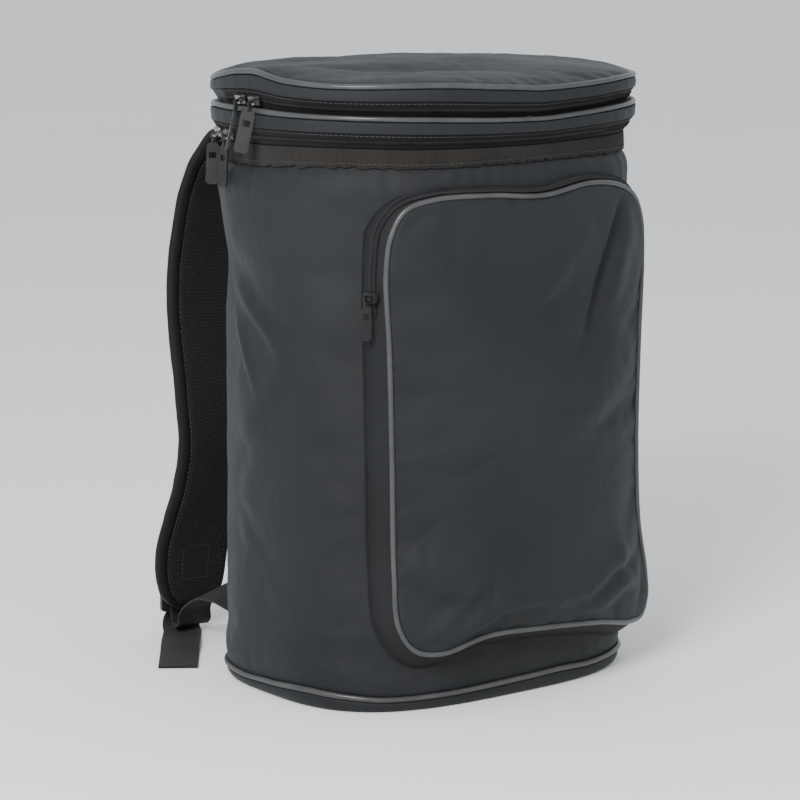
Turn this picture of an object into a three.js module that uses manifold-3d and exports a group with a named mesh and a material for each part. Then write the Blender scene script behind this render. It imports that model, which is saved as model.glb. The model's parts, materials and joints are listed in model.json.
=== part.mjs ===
// A padded drum bag worn on the back: an upright padded drum with a bound mouth, an expander band
// between two zips, a zipped lid, a bowed front pocket and two padded shoulder straps.
// Millimetres, +Z up. The bag stands on its base at the origin, its pocket faces -Y, its straps +Y.
import * as THREE from "three";
import { mergeVertices } from "three/addons/utils/BufferGeometryUtils.js";
import Module from "manifold-3d";

const manifold = await Module();
manifold.setup();

// Clearance between pieces that are sewn or rest face to face.
const GAP = 0.3;

// Padded drum.
const BAG_WIDTH = 301.6;
const BAG_DEPTH = 247.6;
const BASE_HEIGHT = 11;
const BASE_EDGE = 7;
const WALL_HEIGHT = 393;
const WALL_THICKNESS = 8;
const WALL_BULGE = 3;
const SEAM_TUCK = 3.5;
const DENT_DEPTH = 3.4;
const RIM_WAVE = 7;
const PIPING_RADIUS = 2;

// Bound mouth, zips, expander band and lid.
const BINDING_WIDTH = 13.6;
const BINDING_THICKNESS = 1.6;
const BINDING_RECESS = 2;
const ZIP_HEIGHT = 10.4;
const ZIP_THICKNESS = 1.8;
const COIL_RIDGE = 1;
const BAND_HEIGHT = 8.2;
const BAND_THICKNESS = 2.2;
const BAND_REACH = 8.6;
const FLANGE_RISE = 3.8;
const EXPANDER_TURN = 4;
const UPPER_ZIP_RECESS = 2;
const LID_THICKNESS = 6.4;
const LID_CROWN = 8;
const LID_EDGE = 4.7;
const HINGE_UPPER = 0.205;
const HINGE_LOWER = 0.172;

// Front pocket.
const POCKET_WIDTH = 232;
const POCKET_HEIGHT = 334;
const POCKET_CENTRE_X = 3;
const POCKET_CENTRE_Z = 207;
const POCKET_EDGE_DEPTH = 109;
const POCKET_BOW = 27;
const POCKET_BOW_HALF = 114;
const POCKET_CLOTH = 2.4;
const GUSSET_FLARE_SIDE = 6;
const GUSSET_FLARE_TOP = 5;
const GUSSET_FLARE_BOTTOM = 13;
const GUSSET_SWELL = 1.5;
const SEAM_EASE = 1.6;
const POCKET_ZIP_WIDTH = 7;
const POCKET_ZIP_THICKNESS = 1.3;
const POCKET_ZIP_LIFT = GAP + SEAM_EASE / 4;
const POCKET_SLIDER_HEIGHT = 304;
const POCKET_PULL_TURN = 1.15;
const POCKET_PIPING_SEAT = PIPING_RADIUS + GAP * 2;

// Zip sliders and their pull tabs. A tab's length runs from its pivot to its lower end.
const SLIDER_LENGTH = 12;
const SLIDER_WIDTH = 7.4;
const SLIDER_PLATE = 2.4;
const SLIDER_CORNER = 2;
const CROWN_LENGTH = 7.4;
const CROWN_HEIGHT = 4.2;
const CROWN_BAR = 1.4;
const CROWN_CHAMFER = 1.2;
const CROWN_SINK = 0.6;
const TAB_LENGTH = 35.2;
const TAB_WIDTH = 10;
const TAB_THICKNESS = 1.6;
const TAB_EYE = 2.5;
const TAB_EYE_WIRE = 1.15;
const TAB_NECK = 4;
const TAB_WINDOW_WIDTH = 5.4;
const TAB_WINDOW_HEIGHT = 4.4;

// Shoulder straps, their buckles and webbing.
const STRAP_WIDTH = 66;
const STRAP_THICKNESS = 11;
const STRAP_DROP = 380;
const STRAP_ARCH = 65;
const STRAP_SEAT_HEIGHT = 398;
const STRAP_SEAT_TURN = 18;
const STRAP_SEAT_THICKNESS = 5.5;
const MESH_MARGIN = 8;
const MESH_THICKNESS = 1.4;
const WEB_WIDTH = 30;
const WEB_THICKNESS = 1.6;
const WEB_PLAY = 1.2;
const WEB_LEAVE_Z = 40;
const WEB_SWAY = 5;
const LOOP_LENGTH = 42;
const TAIL_REACH = 112;
const TAIL_TURN = 34.8;
const TAIL_HUMP = 2.6;
const BUCKLE_WIDTH = 44;
const BUCKLE_HEIGHT = 27;
const BUCKLE_THICKNESS = 3;
const BUCKLE_BAR = 3.6;
const BUCKLE_CORNER = 3;
const BUCKLE_CENTRE_Z = 31;

// How square the strap's section is across and through: 1 is an ellipse and 0 a rectangle.
const STRAP_EDGE_POWER = 0.4;
const STRAP_FACE_POWER = 0.6;

// The share of the wall's height under which its rims' waves don't reach.
const CALM_LEVEL = 0.88;

// Fineness of the mesh.
const RING_STEPS = 42;
const POCKET_STEPS = 44;
const PIPING_SIDES = 6;

// Heights of the stacked rings, from the floor up.
const WALL_FOOT = BASE_HEIGHT + GAP;
const WALL_TOP = WALL_FOOT + WALL_HEIGHT;
const BINDING_TOP = WALL_TOP + GAP + BINDING_THICKNESS;
const BINDING_FOOT = BINDING_TOP - BINDING_WIDTH;
const LOWER_ZIP_FOOT = BINDING_TOP + GAP;
const EXPANDER_FOOT = LOWER_ZIP_FOOT + ZIP_HEIGHT + GAP;
const EXPANDER_SHOULDER = EXPANDER_FOOT + BAND_HEIGHT;
const UPPER_ZIP_FOOT = EXPANDER_SHOULDER + FLANGE_RISE + GAP;
const LID_BAND_FOOT = UPPER_ZIP_FOOT + ZIP_HEIGHT + GAP;
const LID_BAND_TOP = LID_BAND_FOOT + BAND_HEIGHT;
const EXPANDER_PIPING_Z = EXPANDER_SHOULDER + GAP + PIPING_RADIUS;
const LID_PIPING_Z = LID_BAND_TOP + GAP + PIPING_RADIUS;
const STRAP_FOOT = STRAP_SEAT_HEIGHT - STRAP_DROP;

// The drum's level sections: superellipses whose width and depth are shares of the bag's.
const SECTIONS = [
  { level: 0, width: 0.973, depth: 0.897, squareness: 3.0 },
  { level: 0.5, width: 0.986, depth: 0.948, squareness: 2.67 },
  { level: 1, width: 1, depth: 1, squareness: 2.33 },
];

// How far the padded wall stands out, as shares of its bulge, by its height.
const WALL_ROWS = [
  { level: 0.03, out: 0 },
  { level: 0.13, out: 0.25 },
  { level: 0.3, out: 0 },
  { level: 0.52, out: 0.1 },
  { level: 0.66, out: 0 },
  { level: 0.76, out: 0.1 },
  { level: 0.86, out: 0.6 },
  { level: 0.925, out: 1 },
  { level: 0.96, out: 0.3 },
];

// Soft hollows in the wall, placed round the drum and up it, depths as shares of the dent depth.
const DENTS = [
  { around: 0.2, level: 0.76, wide: 0.06, tall: 0.06, deep: 1 },
  { around: 0.235, level: 0.66, wide: 0.03, tall: 0.08, deep: 0.6 },
  { around: 0.28, level: 0.52, wide: 0.03, tall: 0.1, deep: 0.5 },
  { around: 0.02, level: 0.5, wide: 0.09, tall: 0.2, deep: 0.7 },
  { around: 0.79, level: 0.6, wide: 0.05, tall: 0.12, deep: 0.7 },
];

// The wavy rims: how far each one rides up, as shares of the rim wave, round the bag.
const RIM_ROWS = [
  { around: 0.0, binding: -0.25, expander: 0, lid: -0.1 },
  { around: 0.08, binding: -0.5, expander: 0, lid: 0.1 },
  { around: 0.13, binding: -0.8, expander: 0.1, lid: -0.3 },
  { around: 0.165, binding: -0.6, expander: 0.2, lid: -0.5 },
  { around: 0.2, binding: -0.4, expander: 0.38, lid: 0.15 },
  { around: 0.23, binding: -0.35, expander: 0.35, lid: 0.8 },
  { around: 0.26, binding: -0.3, expander: 0.3, lid: 1 },
  { around: 0.3, binding: 0, expander: 0.2, lid: 0.2 },
  { around: 0.34, binding: 0.13, expander: 0.1, lid: -0.1 },
  { around: 0.4, binding: 0, expander: -0.1, lid: 0 },
  { around: 0.46, binding: 0.15, expander: -0.4, lid: -0.4 },
  { around: 0.51, binding: 0.2, expander: -0.5, lid: -0.72 },
  { around: 0.56, binding: 0.25, expander: -0.25, lid: -0.6 },
  { around: 0.62, binding: 0.05, expander: 0, lid: -0.35 },
  { around: 0.68, binding: -0.1, expander: 0, lid: -0.6 },
  { around: 0.74, binding: -0.2, expander: 0, lid: -0.15 },
  { around: 0.86, binding: -0.15, expander: 0, lid: -0.2 },
  { around: 0.93, binding: -0.2, expander: 0, lid: 0 },
];

// The pocket's piped outline, clockwise from the top left corner, as shares of its width and height.
const POCKET_OUTLINE = [
  { across: -0.5, up: 0.42 },
  { across: -0.46, up: 0.472 },
  { across: -0.38, up: 0.493 },
  { across: -0.2, up: 0.497 },
  { across: -0.01, up: 0.489 },
  { across: 0.2, up: 0.505 },
  { across: 0.36, up: 0.49 },
  { across: 0.455, up: 0.458 },
  { across: 0.503, up: 0.405 },
  { across: 0.515, up: 0.32 },
  { across: 0.498, up: 0.12 },
  { across: 0.49, up: -0.1 },
  { across: 0.515, up: -0.28 },
  { across: 0.575, up: -0.405 },
  { across: 0.585, up: -0.465 },
  { across: 0.545, up: -0.502 },
  { across: 0.46, up: -0.503 },
  { across: 0.27, up: -0.475 },
  { across: 0.02, up: -0.455 },
  { across: -0.2, up: -0.453 },
  { across: -0.35, up: -0.482 },
  { across: -0.43, up: -0.472 },
  { across: -0.478, up: -0.42 },
  { across: -0.492, up: -0.3 },
  { across: -0.498, up: -0.05 },
  { across: -0.505, up: 0.18 },
  { across: -0.514, up: 0.34 },
];

// The left strap's centre line from its seam under the rim to its rounded lower end. across is a share
// of half the bag's width, back of the strap's arch behind the bag, up of the strap's drop; turn is the
// angle of its width in degrees; wide and thick are shares of the strap's width and thickness.
const STRAP_ROWS = [
  { across: -0.4, back: 0.16, up: 1.006, turn: 14, wide: 1, thick: 0.7 },
  { across: -0.41, back: 0.42, up: 1.0, turn: 14, wide: 1, thick: 0.95 },
  { across: -0.425, back: 0.64, up: 0.965, turn: 13, wide: 1, thick: 1 },
  { across: -0.45, back: 0.78, up: 0.92, turn: 12, wide: 1, thick: 1 },
  { across: -0.485, back: 0.86, up: 0.845, turn: 10, wide: 1, thick: 1 },
  { across: -0.52, back: 0.87, up: 0.76, turn: 9, wide: 1, thick: 1 },
  { across: -0.55, back: 0.82, up: 0.665, turn: 8, wide: 1, thick: 1 },
  { across: -0.563, back: 0.7, up: 0.565, turn: 6, wide: 1, thick: 1 },
  { across: -0.563, back: 0.6, up: 0.47, turn: 5, wide: 1, thick: 1 },
  { across: -0.55, back: 0.57, up: 0.375, turn: 4, wide: 1, thick: 1 },
  { across: -0.555, back: 0.68, up: 0.28, turn: 3, wide: 1, thick: 1 },
  { across: -0.563, back: 0.86, up: 0.205, turn: 2, wide: 1, thick: 1 },
  { across: -0.575, back: 0.98, up: 0.13, turn: 0, wide: 1, thick: 1 },
  { across: -0.58, back: 1, up: 0.085, turn: 0, wide: 0.97, thick: 1 },
  { across: -0.58, back: 1, up: 0.045, turn: 0, wide: 0.86, thick: 1 },
  { across: -0.58, back: 1, up: 0.018, turn: 0, wide: 0.62, thick: 0.95 },
  { across: -0.58, back: 1, up: 0.004, turn: 0, wide: 0.34, thick: 0.85 },
];

// The adjusting web from the bag's bottom corner to the buckle: over is a share of the way there, up of
// the height where it leaves the bag, sway of its sideways swing. Its width points along X with the
// given shares towards +Y and +Z.
const WEB_ROWS = [
  { over: 0, up: 1, sway: 0, toward: 0.23, tilt: 0.32 },
  { over: 0.1, up: 1.1, sway: 0.4, toward: 0.11, tilt: 0.35 },
  { over: 0.26, up: 1.16, sway: 0.8, toward: 0, tilt: 0.36 },
  { over: 0.44, up: 1.08, sway: 1, toward: 0, tilt: 0.32 },
  { over: 0.63, up: 0.83, sway: 1, toward: 0, tilt: 0.2 },
  { over: 0.79, up: 0.5, sway: 0.8, toward: 0, tilt: 0.1 },
  { over: 0.84, up: 0.25, sway: 0.4, toward: 0, tilt: 0 },
  { over: 0.91, up: 0.175, sway: 0.2, toward: 0, tilt: 0 },
  { over: 0.97, up: 0.225, sway: 0, toward: 0, tilt: 0 },
];

// Its drop outside the buckle: sway and back are shares of the sideways swing, up of the height where
// it leaves the bag, above the floor.
const DROP_ROWS = [
  { sway: 0.2, back: 0.2, up: 0.22, toward: -0.1 },
  { sway: 0.6, back: -0.4, up: 0.07, toward: -0.32 },
  { sway: 1.2, back: -1.6, up: 0, toward: -0.48 },
];

// Its free tail along the floor, with a low hump where it creased.
const TAIL_ROWS = [
  { along: 0.14, rise: 0 },
  { along: 0.3, rise: 0.77 },
  { along: 0.42, rise: 1 },
  { along: 0.6, rise: 0.23 },
  { along: 0.8, rise: 0 },
  { along: 1, rise: 0 },
];

// The loop of webbing outside the buckle's top bar, up from the bar and then under its own other ply.
const LOOP_ROWS = [
  { up: 0.07, doubled: false },
  { up: 0.19, doubled: false },
  { up: 0.38, doubled: true },
  { up: 0.95, doubled: true },
];

// Materials.
const MATERIALS = {
  fabric: new THREE.MeshStandardMaterial({ color: 0x3a3f40, roughness: 0.62, metalness: 0 }),
  piping: new THREE.MeshStandardMaterial({ color: 0x67696a, roughness: 0.5, metalness: 0 }),
  binding: new THREE.MeshStandardMaterial({ color: 0x403c38, roughness: 0.85, metalness: 0 }),
  zip: new THREE.MeshStandardMaterial({ color: 0x2a272a, roughness: 0.75, metalness: 0 }),
  metal: new THREE.MeshStandardMaterial({ color: 0x8a8a8c, roughness: 0.35, metalness: 0.8 }),
  pull: new THREE.MeshStandardMaterial({ color: 0x3a3a3a, roughness: 0.45, metalness: 0.3 }),
  mesh: new THREE.MeshStandardMaterial({ color: 0x1a181a, roughness: 0.9, metalness: 0 }),
  webbing: new THREE.MeshStandardMaterial({ color: 0x3c3937, roughness: 0.8, metalness: 0 }),
  plastic: new THREE.MeshStandardMaterial({ color: 0x1f1f20, roughness: 0.4, metalness: 0 }),
};

const bag = new THREE.Group();

// Mesh building.

function signedVolume(positions, faces) {
  let volume = 0;
  for (let i = 0; i < faces.length; i += 3) {
    const [a, b, c] = [positions[faces[i]], positions[faces[i + 1]], positions[faces[i + 2]]];
    volume += a.dot(new THREE.Vector3().crossVectors(b, c));
  }
  return volume / 6;
}

// A geometry of points and triangles, turned so that its faces point out.
function closedGeometry(points, faces) {
  const facesOut = faces.slice();
  if (signedVolume(points, faces) < 0) facesOut.reverse();
  const geometry = new THREE.BufferGeometry();
  const coordinates = points.flatMap((point) => point.toArray());
  geometry.setAttribute("position", new THREE.Float32BufferAttribute(coordinates, 3));
  geometry.setIndex(facesOut);
  geometry.computeVertexNormals();
  return geometry;
}

// A solid through rings of points: the last ring joins the first where it is a loop, otherwise both
// ends are closed by flat caps, or by a point where capPoints gives one. The two halves of a ring split
// their quads along the same diagonal seen through the solid, so a thin one keeps its thickness.
function loft(rings, loop, capPoints = []) {
  const sides = rings[0].length;
  const points = rings.flat();
  const faces = [];
  const spans = loop ? rings.length : rings.length - 1;
  for (let i = 0; i < spans; i++) {
    const here = i * sides;
    const next = ((i + 1) % rings.length) * sides;
    for (let j = 0; j < sides; j++) {
      const k = (j + 1) % sides;
      if (j < sides / 2) faces.push(here + j, next + j, next + k, here + j, next + k, here + k);
      else faces.push(here + j, next + j, here + k, here + k, next + j, next + k);
    }
  }
  if (!loop) {
    closeEnd(points, faces, 0, sides, capPoints[0], true);
    closeEnd(points, faces, (rings.length - 1) * sides, sides, capPoints[1], false);
  }
  return closedGeometry(points, faces);
}

function closeEnd(points, faces, first, sides, tip, isStart) {
  const centre = tip ?? middleOf(points.slice(first, first + sides));
  points.push(centre);
  const hub = points.length - 1;
  for (let j = 0; j < sides; j++) {
    const k = (j + 1) % sides;
    if (isStart) faces.push(hub, first + j, first + k);
    else faces.push(hub, first + k, first + j);
  }
}

function middleOf(points) {
  const sum = points.reduce((total, p) => total.add(p), new THREE.Vector3());
  return sum.divideScalar(points.length);
}

function addMesh(name, geometry, material) {
  const mesh = new THREE.Mesh(geometry, material);
  mesh.name = name;
  bag.add(mesh);
  return mesh;
}

// Turns a closed geometry into a manifold-3d solid.
function solidOf(geometry) {
  const bare = geometry.index ? geometry.toNonIndexed() : geometry.clone();
  bare.deleteAttribute("normal");
  bare.deleteAttribute("uv");
  const merged = mergeVertices(bare, 1e-4);
  const vertProperties = new Float32Array(merged.attributes.position.array);
  const triVerts = new Uint32Array(merged.index.array);
  return new manifold.Manifold(new manifold.Mesh({ numProp: 3, vertProperties, triVerts }));
}

// Joins closed geometries into one.
function joined(geometries) {
  const solid = geometries.map(solidOf).reduce((whole, piece) => whole.add(piece));
  const mesh = solid.getMesh();
  const geometry = new THREE.BufferGeometry();
  geometry.setAttribute("position", new THREE.Float32BufferAttribute(mesh.vertProperties, 3));
  geometry.setIndex(Array.from(mesh.triVerts));
  geometry.computeVertexNormals();
  return geometry;
}

// Tables.

const smooth = (t) => t * t * (3 - 2 * t);
const mix = (a, b, t) => a + (b - a) * t;

// The value of a column at a place in a table whose rows climb by key.
function lookUp(rows, key, column, at, ease = (t) => t) {
  const after = rows.findIndex((row) => row[key] > at);
  if (after === 0) return rows[0][column];
  if (after < 0) return rows[rows.length - 1][column];
  const [low, high] = [rows[after - 1], rows[after]];
  return mix(low[column], high[column], ease((at - low[key]) / (high[key] - low[key])));
}

// The drum's surface.

const signedPower = (value, power) => Math.sign(value) * Math.abs(value) ** power;

function sectionAt(height) {
  const level = Math.min(Math.max(height / WALL_TOP, 0), 1);
  return {
    halfWidth: (lookUp(SECTIONS, "level", "width", level) * BAG_WIDTH) / 2,
    halfDepth: (lookUp(SECTIONS, "level", "depth", level) * BAG_DEPTH) / 2,
    squareness: lookUp(SECTIONS, "level", "squareness", level),
  };
}

// A point of a level section at an angle, counted from the middle of the back towards -X.
function sectionPoint(section, angle) {
  const power = 2 / section.squareness;
  const x = -section.halfWidth * signedPower(Math.sin(angle), power);
  const y = section.halfDepth * signedPower(Math.cos(angle), power);
  return new THREE.Vector2(x, y);
}

// Angles by equal lengths of girth, measured on the middle section.
const GIRTH_SAMPLES = 1440;
const girthRows = [{ length: 0, angle: 0 }];
for (let i = 1; i <= GIRTH_SAMPLES; i++) {
  const angle = (2 * Math.PI * i) / GIRTH_SAMPLES;
  const middle = sectionAt(WALL_TOP / 2);
  const step = sectionPoint(middle, angle).distanceTo(sectionPoint(middle, girthRows[i - 1].angle));
  girthRows.push({ length: girthRows[i - 1].length + step, angle });
}
const GIRTH = girthRows[GIRTH_SAMPLES].length;
const angleAt = (around) => lookUp(girthRows, "length", "angle", (around - Math.floor(around)) * GIRTH);

// How far the rims ride up at a place round the bag and a height: nothing low on the wall.
function rimLift(around, height) {
  const share = around - Math.floor(around);
  const wrapped = RIM_ROWS.concat({ ...RIM_ROWS[0], around: 1 });
  const lifts = ["binding", "expander", "lid"].map(
    (column) => lookUp(wrapped, "around", column, share, smooth) * RIM_WAVE,
  );
  const levels = [
    { height: WALL_TOP * CALM_LEVEL, lift: 0 },
    { height: BINDING_FOOT, lift: lifts[0] },
    { height: EXPANDER_PIPING_Z, lift: lifts[1] },
    { height: LID_PIPING_Z, lift: lifts[2] },
  ];
  return lookUp(levels, "height", "lift", height);
}

// A frame on the drum's surface: the point, the direction out and the direction round the bag.
function surfaceFrame(around, height) {
  const section = sectionAt(height);
  const flat = sectionPoint(section, angleAt(around));
  const slope = section.squareness - 1;
  const out = new THREE.Vector3(
    signedPower(flat.x / section.halfWidth, slope) / section.halfWidth,
    signedPower(flat.y / section.halfDepth, slope) / section.halfDepth,
    0,
  ).normalize();
  const point = new THREE.Vector3(flat.x, flat.y, height + rimLift(around, height));
  return { point, out, along: new THREE.Vector3(-out.y, out.x, 0) };
}

function bagPoint(around, height, out) {
  const frame = surfaceFrame(around, height);
  return frame.point.addScaledVector(frame.out, out);
}

// The padded wall's own relief: its bulge by height, less the dents.
function wallRelief(around, height) {
  const level = (height - WALL_FOOT) / WALL_HEIGHT;
  const bulge = lookUp(WALL_ROWS, "level", "out", level) * WALL_BULGE;
  const dents = DENTS.map((dent) => {
    const turn = around - dent.around;
    const acrossDent = (turn - Math.round(turn)) / dent.wide;
    const upDent = (level - dent.level) / dent.tall;
    return dent.deep * Math.exp(-(acrossDent ** 2 + upDent ** 2));
  });
  return bulge - DENT_DEPTH * dents.reduce((sum, dent) => sum + dent, 0);
}

// The places round the bag where a ring is stepped: the same ones for every ring, so that stacked
// rings keep their gaps, and the two ends of an open one.
function ringPlaces(from, to) {
  const places = [];
  for (let step = Math.ceil(from * RING_STEPS); step <= to * RING_STEPS; step++) {
    places.push(step / RING_STEPS);
  }
  if (to - from >= 1) return places.slice(0, RING_STEPS);
  const least = 0.2 / RING_STEPS;
  return [from, ...places.filter((place) => place > from + least && place < to - least), to];
}

// A ring round the drum with the given profile of heights and distances out from the surface. It is
// closed, or runs from one share of the girth to another.
function ringAround(profile, from = 0, to = 1) {
  const rings = ringPlaces(from, to).map((around) =>
    profile.map((corner) => bagPoint(around, corner.height, corner.out)),
  );
  return loft(rings, to - from >= 1);
}

function pipingProfile(out, height) {
  return Array.from({ length: PIPING_SIDES }, (_, i) => {
    const angle = (2 * Math.PI * i) / PIPING_SIDES;
    return { out: out + PIPING_RADIUS * Math.cos(angle), height: height + PIPING_RADIUS * Math.sin(angle) };
  });
}

// Base and wall.

function makeBase() {
  const seat = SEAM_TUCK + GAP;
  const profile = [
    { out: -seat, height: BASE_HEIGHT },
    { out: 0, height: BASE_HEIGHT - SEAM_TUCK },
    { out: -BASE_EDGE * 0.12, height: BASE_HEIGHT * 0.35 },
    { out: -BASE_EDGE * 0.42, height: BASE_HEIGHT * 0.1 },
    { out: -BASE_EDGE, height: 0 },
  ];
  const rings = profile.map((row) =>
    Array.from({ length: RING_STEPS }, (_, i) => bagPoint(i / RING_STEPS, row.height, row.out)),
  );
  const tips = [new THREE.Vector3(0, 0, BASE_HEIGHT), new THREE.Vector3(0, 0, 0)];
  addMesh("base_panel", loft(rings, false, tips), MATERIALS.fabric);
  addMesh("base_piping", ringAround(pipingProfile(0, BASE_HEIGHT + GAP / 2)), MATERIALS.piping);
}

// The levels of the wall's inner face, from the top down.
const LINING_LEVELS = [0.86, 0.68, 0.3];

function makeWall() {
  const rings = [];
  const neckFoot = BINDING_FOOT - GAP;
  for (let i = 0; i < RING_STEPS; i++) {
    const around = i / RING_STEPS;
    const face = (height) => bagPoint(around, height, wallRelief(around, height));
    const lining = (height) => bagPoint(around, height, wallRelief(around, height) - WALL_THICKNESS);
    const outer = WALL_ROWS.map((row) => face(WALL_FOOT + row.level * WALL_HEIGHT));
    rings.push([
      bagPoint(around, WALL_FOOT, -SEAM_TUCK - GAP),
      bagPoint(around, WALL_FOOT + SEAM_TUCK, 0),
      ...outer,
      bagPoint(around, neckFoot, -BINDING_RECESS),
      bagPoint(around, WALL_TOP, -BINDING_RECESS),
      bagPoint(around, WALL_TOP, -BINDING_RECESS - WALL_THICKNESS),
      ...LINING_LEVELS.map((level) => lining(WALL_FOOT + WALL_HEIGHT * level)),
      bagPoint(around, WALL_FOOT, -WALL_THICKNESS),
    ]);
  }
  addMesh("body_wall", loft(rings, true), MATERIALS.fabric);
}

// Binding, zips, expander band and lid.

function makeBinding() {
  const inside = -BINDING_RECESS + GAP;
  const outside = inside + BINDING_THICKNESS;
  const folded = outside - BINDING_THICKNESS * 3;
  const profile = [
    { out: inside, height: BINDING_FOOT },
    { out: outside, height: BINDING_FOOT },
    { out: outside, height: BINDING_TOP },
    { out: folded, height: BINDING_TOP },
    { out: folded, height: WALL_TOP + GAP },
    { out: inside, height: WALL_TOP + GAP },
  ];
  addMesh("binding_band", ringAround(profile), MATERIALS.binding);
}

// The outer face of a zip tape leans out from footOut to topOut, with its coil's low ridge between the
// given shares of its height. Plain cloth has no ridge.
function zipProfile({ foot, footOut, topOut }, ridgeShares) {
  const ridge = ridgeShares.map((share) => ({
    out: mix(footOut, topOut, share) + COIL_RIDGE,
    height: foot + ZIP_HEIGHT * share,
  }));
  return [
    { out: footOut - ZIP_THICKNESS, height: foot },
    { out: footOut, height: foot },
    ...ridge,
    { out: topOut, height: foot + ZIP_HEIGHT },
    { out: topOut - ZIP_THICKNESS, height: foot + ZIP_HEIGHT },
  ];
}

const ZIP_TOP_OUT = BAND_REACH - BAND_THICKNESS / 2;
const LOWER_ZIP_FACE = { foot: LOWER_ZIP_FOOT, footOut: 0, topOut: ZIP_TOP_OUT };
const UPPER_ZIP_FACE = { foot: UPPER_ZIP_FOOT, footOut: UPPER_ZIP_RECESS, topOut: ZIP_TOP_OUT };
const COIL_SHARES = [0.34, 0.66];

// A zip round the front and the plain cloth that closes its ring across the back.
function makeZip(prefix, face, hinge) {
  const slit = GAP / GIRTH;
  const tape = ringAround(zipProfile(face, COIL_SHARES), hinge, 1 - hinge);
  addMesh(prefix + "_zip", tape, MATERIALS.zip);
  const panel = ringAround(zipProfile(face, []), -hinge + slit, hinge - slit);
  addMesh(prefix + "_hinge_panel", panel, MATERIALS.fabric);
}

function makeExpander() {
  const top = UPPER_ZIP_FOOT - GAP;
  const ledge = BAND_REACH - 2 * PIPING_RADIUS;
  const profile = [
    { out: BAND_REACH - BAND_THICKNESS, height: EXPANDER_FOOT },
    { out: BAND_REACH, height: EXPANDER_FOOT },
    { out: BAND_REACH, height: EXPANDER_SHOULDER },
    { out: ledge, height: EXPANDER_SHOULDER },
    { out: ledge, height: top },
    { out: ledge - EXPANDER_TURN, height: top },
    { out: ledge - EXPANDER_TURN, height: top - BAND_THICKNESS },
    { out: BAND_REACH - BAND_THICKNESS, height: EXPANDER_SHOULDER - BAND_THICKNESS },
  ];
  addMesh("expander_band", ringAround(profile), MATERIALS.fabric);
  const pipingOut = ledge + GAP + PIPING_RADIUS;
  addMesh("expander_piping", ringAround(pipingProfile(pipingOut, EXPANDER_PIPING_Z)), MATERIALS.piping);
}

function makeLid() {
  const profile = [
    { out: BAND_REACH - BAND_THICKNESS, height: LID_BAND_FOOT },
    { out: BAND_REACH, height: LID_BAND_FOOT },
    { out: BAND_REACH, height: LID_BAND_TOP },
    { out: BAND_REACH - BAND_THICKNESS, height: LID_BAND_TOP },
  ];
  addMesh("lid_band", ringAround(profile), MATERIALS.fabric);
  const pipingOut = LID_EDGE + GAP + PIPING_RADIUS;
  addMesh("lid_piping", ringAround(pipingProfile(pipingOut, LID_PIPING_Z)), MATERIALS.piping);
  makeLidPanel();
}

// The lid's padded panel: its top rises steeply inside the piping to a low crown. reach is a share of
// the way out from the middle and rise a share of the crown.
function makeLidPanel() {
  const top = [
    { reach: 0.2, rise: 0.98 },
    { reach: 0.5, rise: 0.85 },
    { reach: 0.76, rise: 0.62 },
    { reach: 0.91, rise: 0.42 },
    { reach: 0.975, rise: 0.22 },
    { reach: 1, rise: 0 },
  ];
  const under = LID_PIPING_Z - LID_THICKNESS;
  const ringAt = (reach, height) =>
    Array.from({ length: RING_STEPS }, (_, i) => {
      const rim = bagPoint(i / RING_STEPS, LID_PIPING_Z, LID_EDGE);
      const lift = (rim.z - LID_PIPING_Z) * reach * reach;
      return new THREE.Vector3(rim.x * reach, rim.y * reach, height + lift);
    });
  const rings = top.map((row) => ringAt(row.reach, LID_PIPING_Z + row.rise * LID_CROWN));
  rings.push(ringAt(1, under), ringAt(0.5, under + LID_CROWN * 0.3));
  const tips = [
    new THREE.Vector3(0, 0, LID_PIPING_Z + LID_CROWN),
    new THREE.Vector3(0, 0, under + LID_CROWN * 0.4),
  ];
  addMesh("lid_panel", loft(rings, false, tips), MATERIALS.fabric);
}

// Front pocket.

// The height of the pocket's bowed face in front of the bag's axis.
function pocketDepth(x) {
  return POCKET_EDGE_DEPTH + POCKET_BOW * (1 - (x / POCKET_BOW_HALF) ** 2);
}

// The padded wall's front face at a place across and up, found by halving round the girth.
function frontDepth(x, z) {
  let [low, high] = [0.26, 0.74];
  for (let i = 0; i < 24; i++) {
    const middle = (low + high) / 2;
    if (bagPoint(middle, z, wallRelief(middle, z)).x < x) low = middle;
    else high = middle;
  }
  return -bagPoint(low, z, wallRelief(low, z)).y;
}

const pocketCurve = new THREE.CatmullRomCurve3(
  POCKET_OUTLINE.map(
    (row) =>
      new THREE.Vector3(
        POCKET_CENTRE_X + row.across * POCKET_WIDTH,
        0,
        POCKET_CENTRE_Z + row.up * POCKET_HEIGHT,
      ),
  ),
  true,
  "centripetal",
);

// The pocket's edge, step by step: its place on the face, the direction out of the outline, and the
// seam where the gusset meets the bag.
const pocketEdge = Array.from({ length: POCKET_STEPS }, (_, i) => {
  const place = pocketCurve.getPointAt(i / POCKET_STEPS);
  const tangent = pocketCurve.getTangentAt(i / POCKET_STEPS);
  const away = new THREE.Vector3(-tangent.z, 0, tangent.x);
  const face = new THREE.Vector3(place.x, -pocketDepth(place.x), place.z);
  const flareUp = away.z < 0 ? GUSSET_FLARE_BOTTOM : GUSSET_FLARE_TOP;
  const limit = POCKET_WIDTH / 2 + GUSSET_FLARE_SIDE;
  const wide = place.x - POCKET_CENTRE_X + away.x * GUSSET_FLARE_SIDE;
  const seamX = POCKET_CENTRE_X + Math.min(Math.max(wide, -limit), limit);
  const seamZ = place.z + away.z * flareUp;
  const seam = onWall(seamX, seamZ);
  const lining = onWall(seamX - away.x * POCKET_CLOTH, seamZ - away.z * POCKET_CLOTH);
  return { face, away, seam, lining };
});

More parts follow.
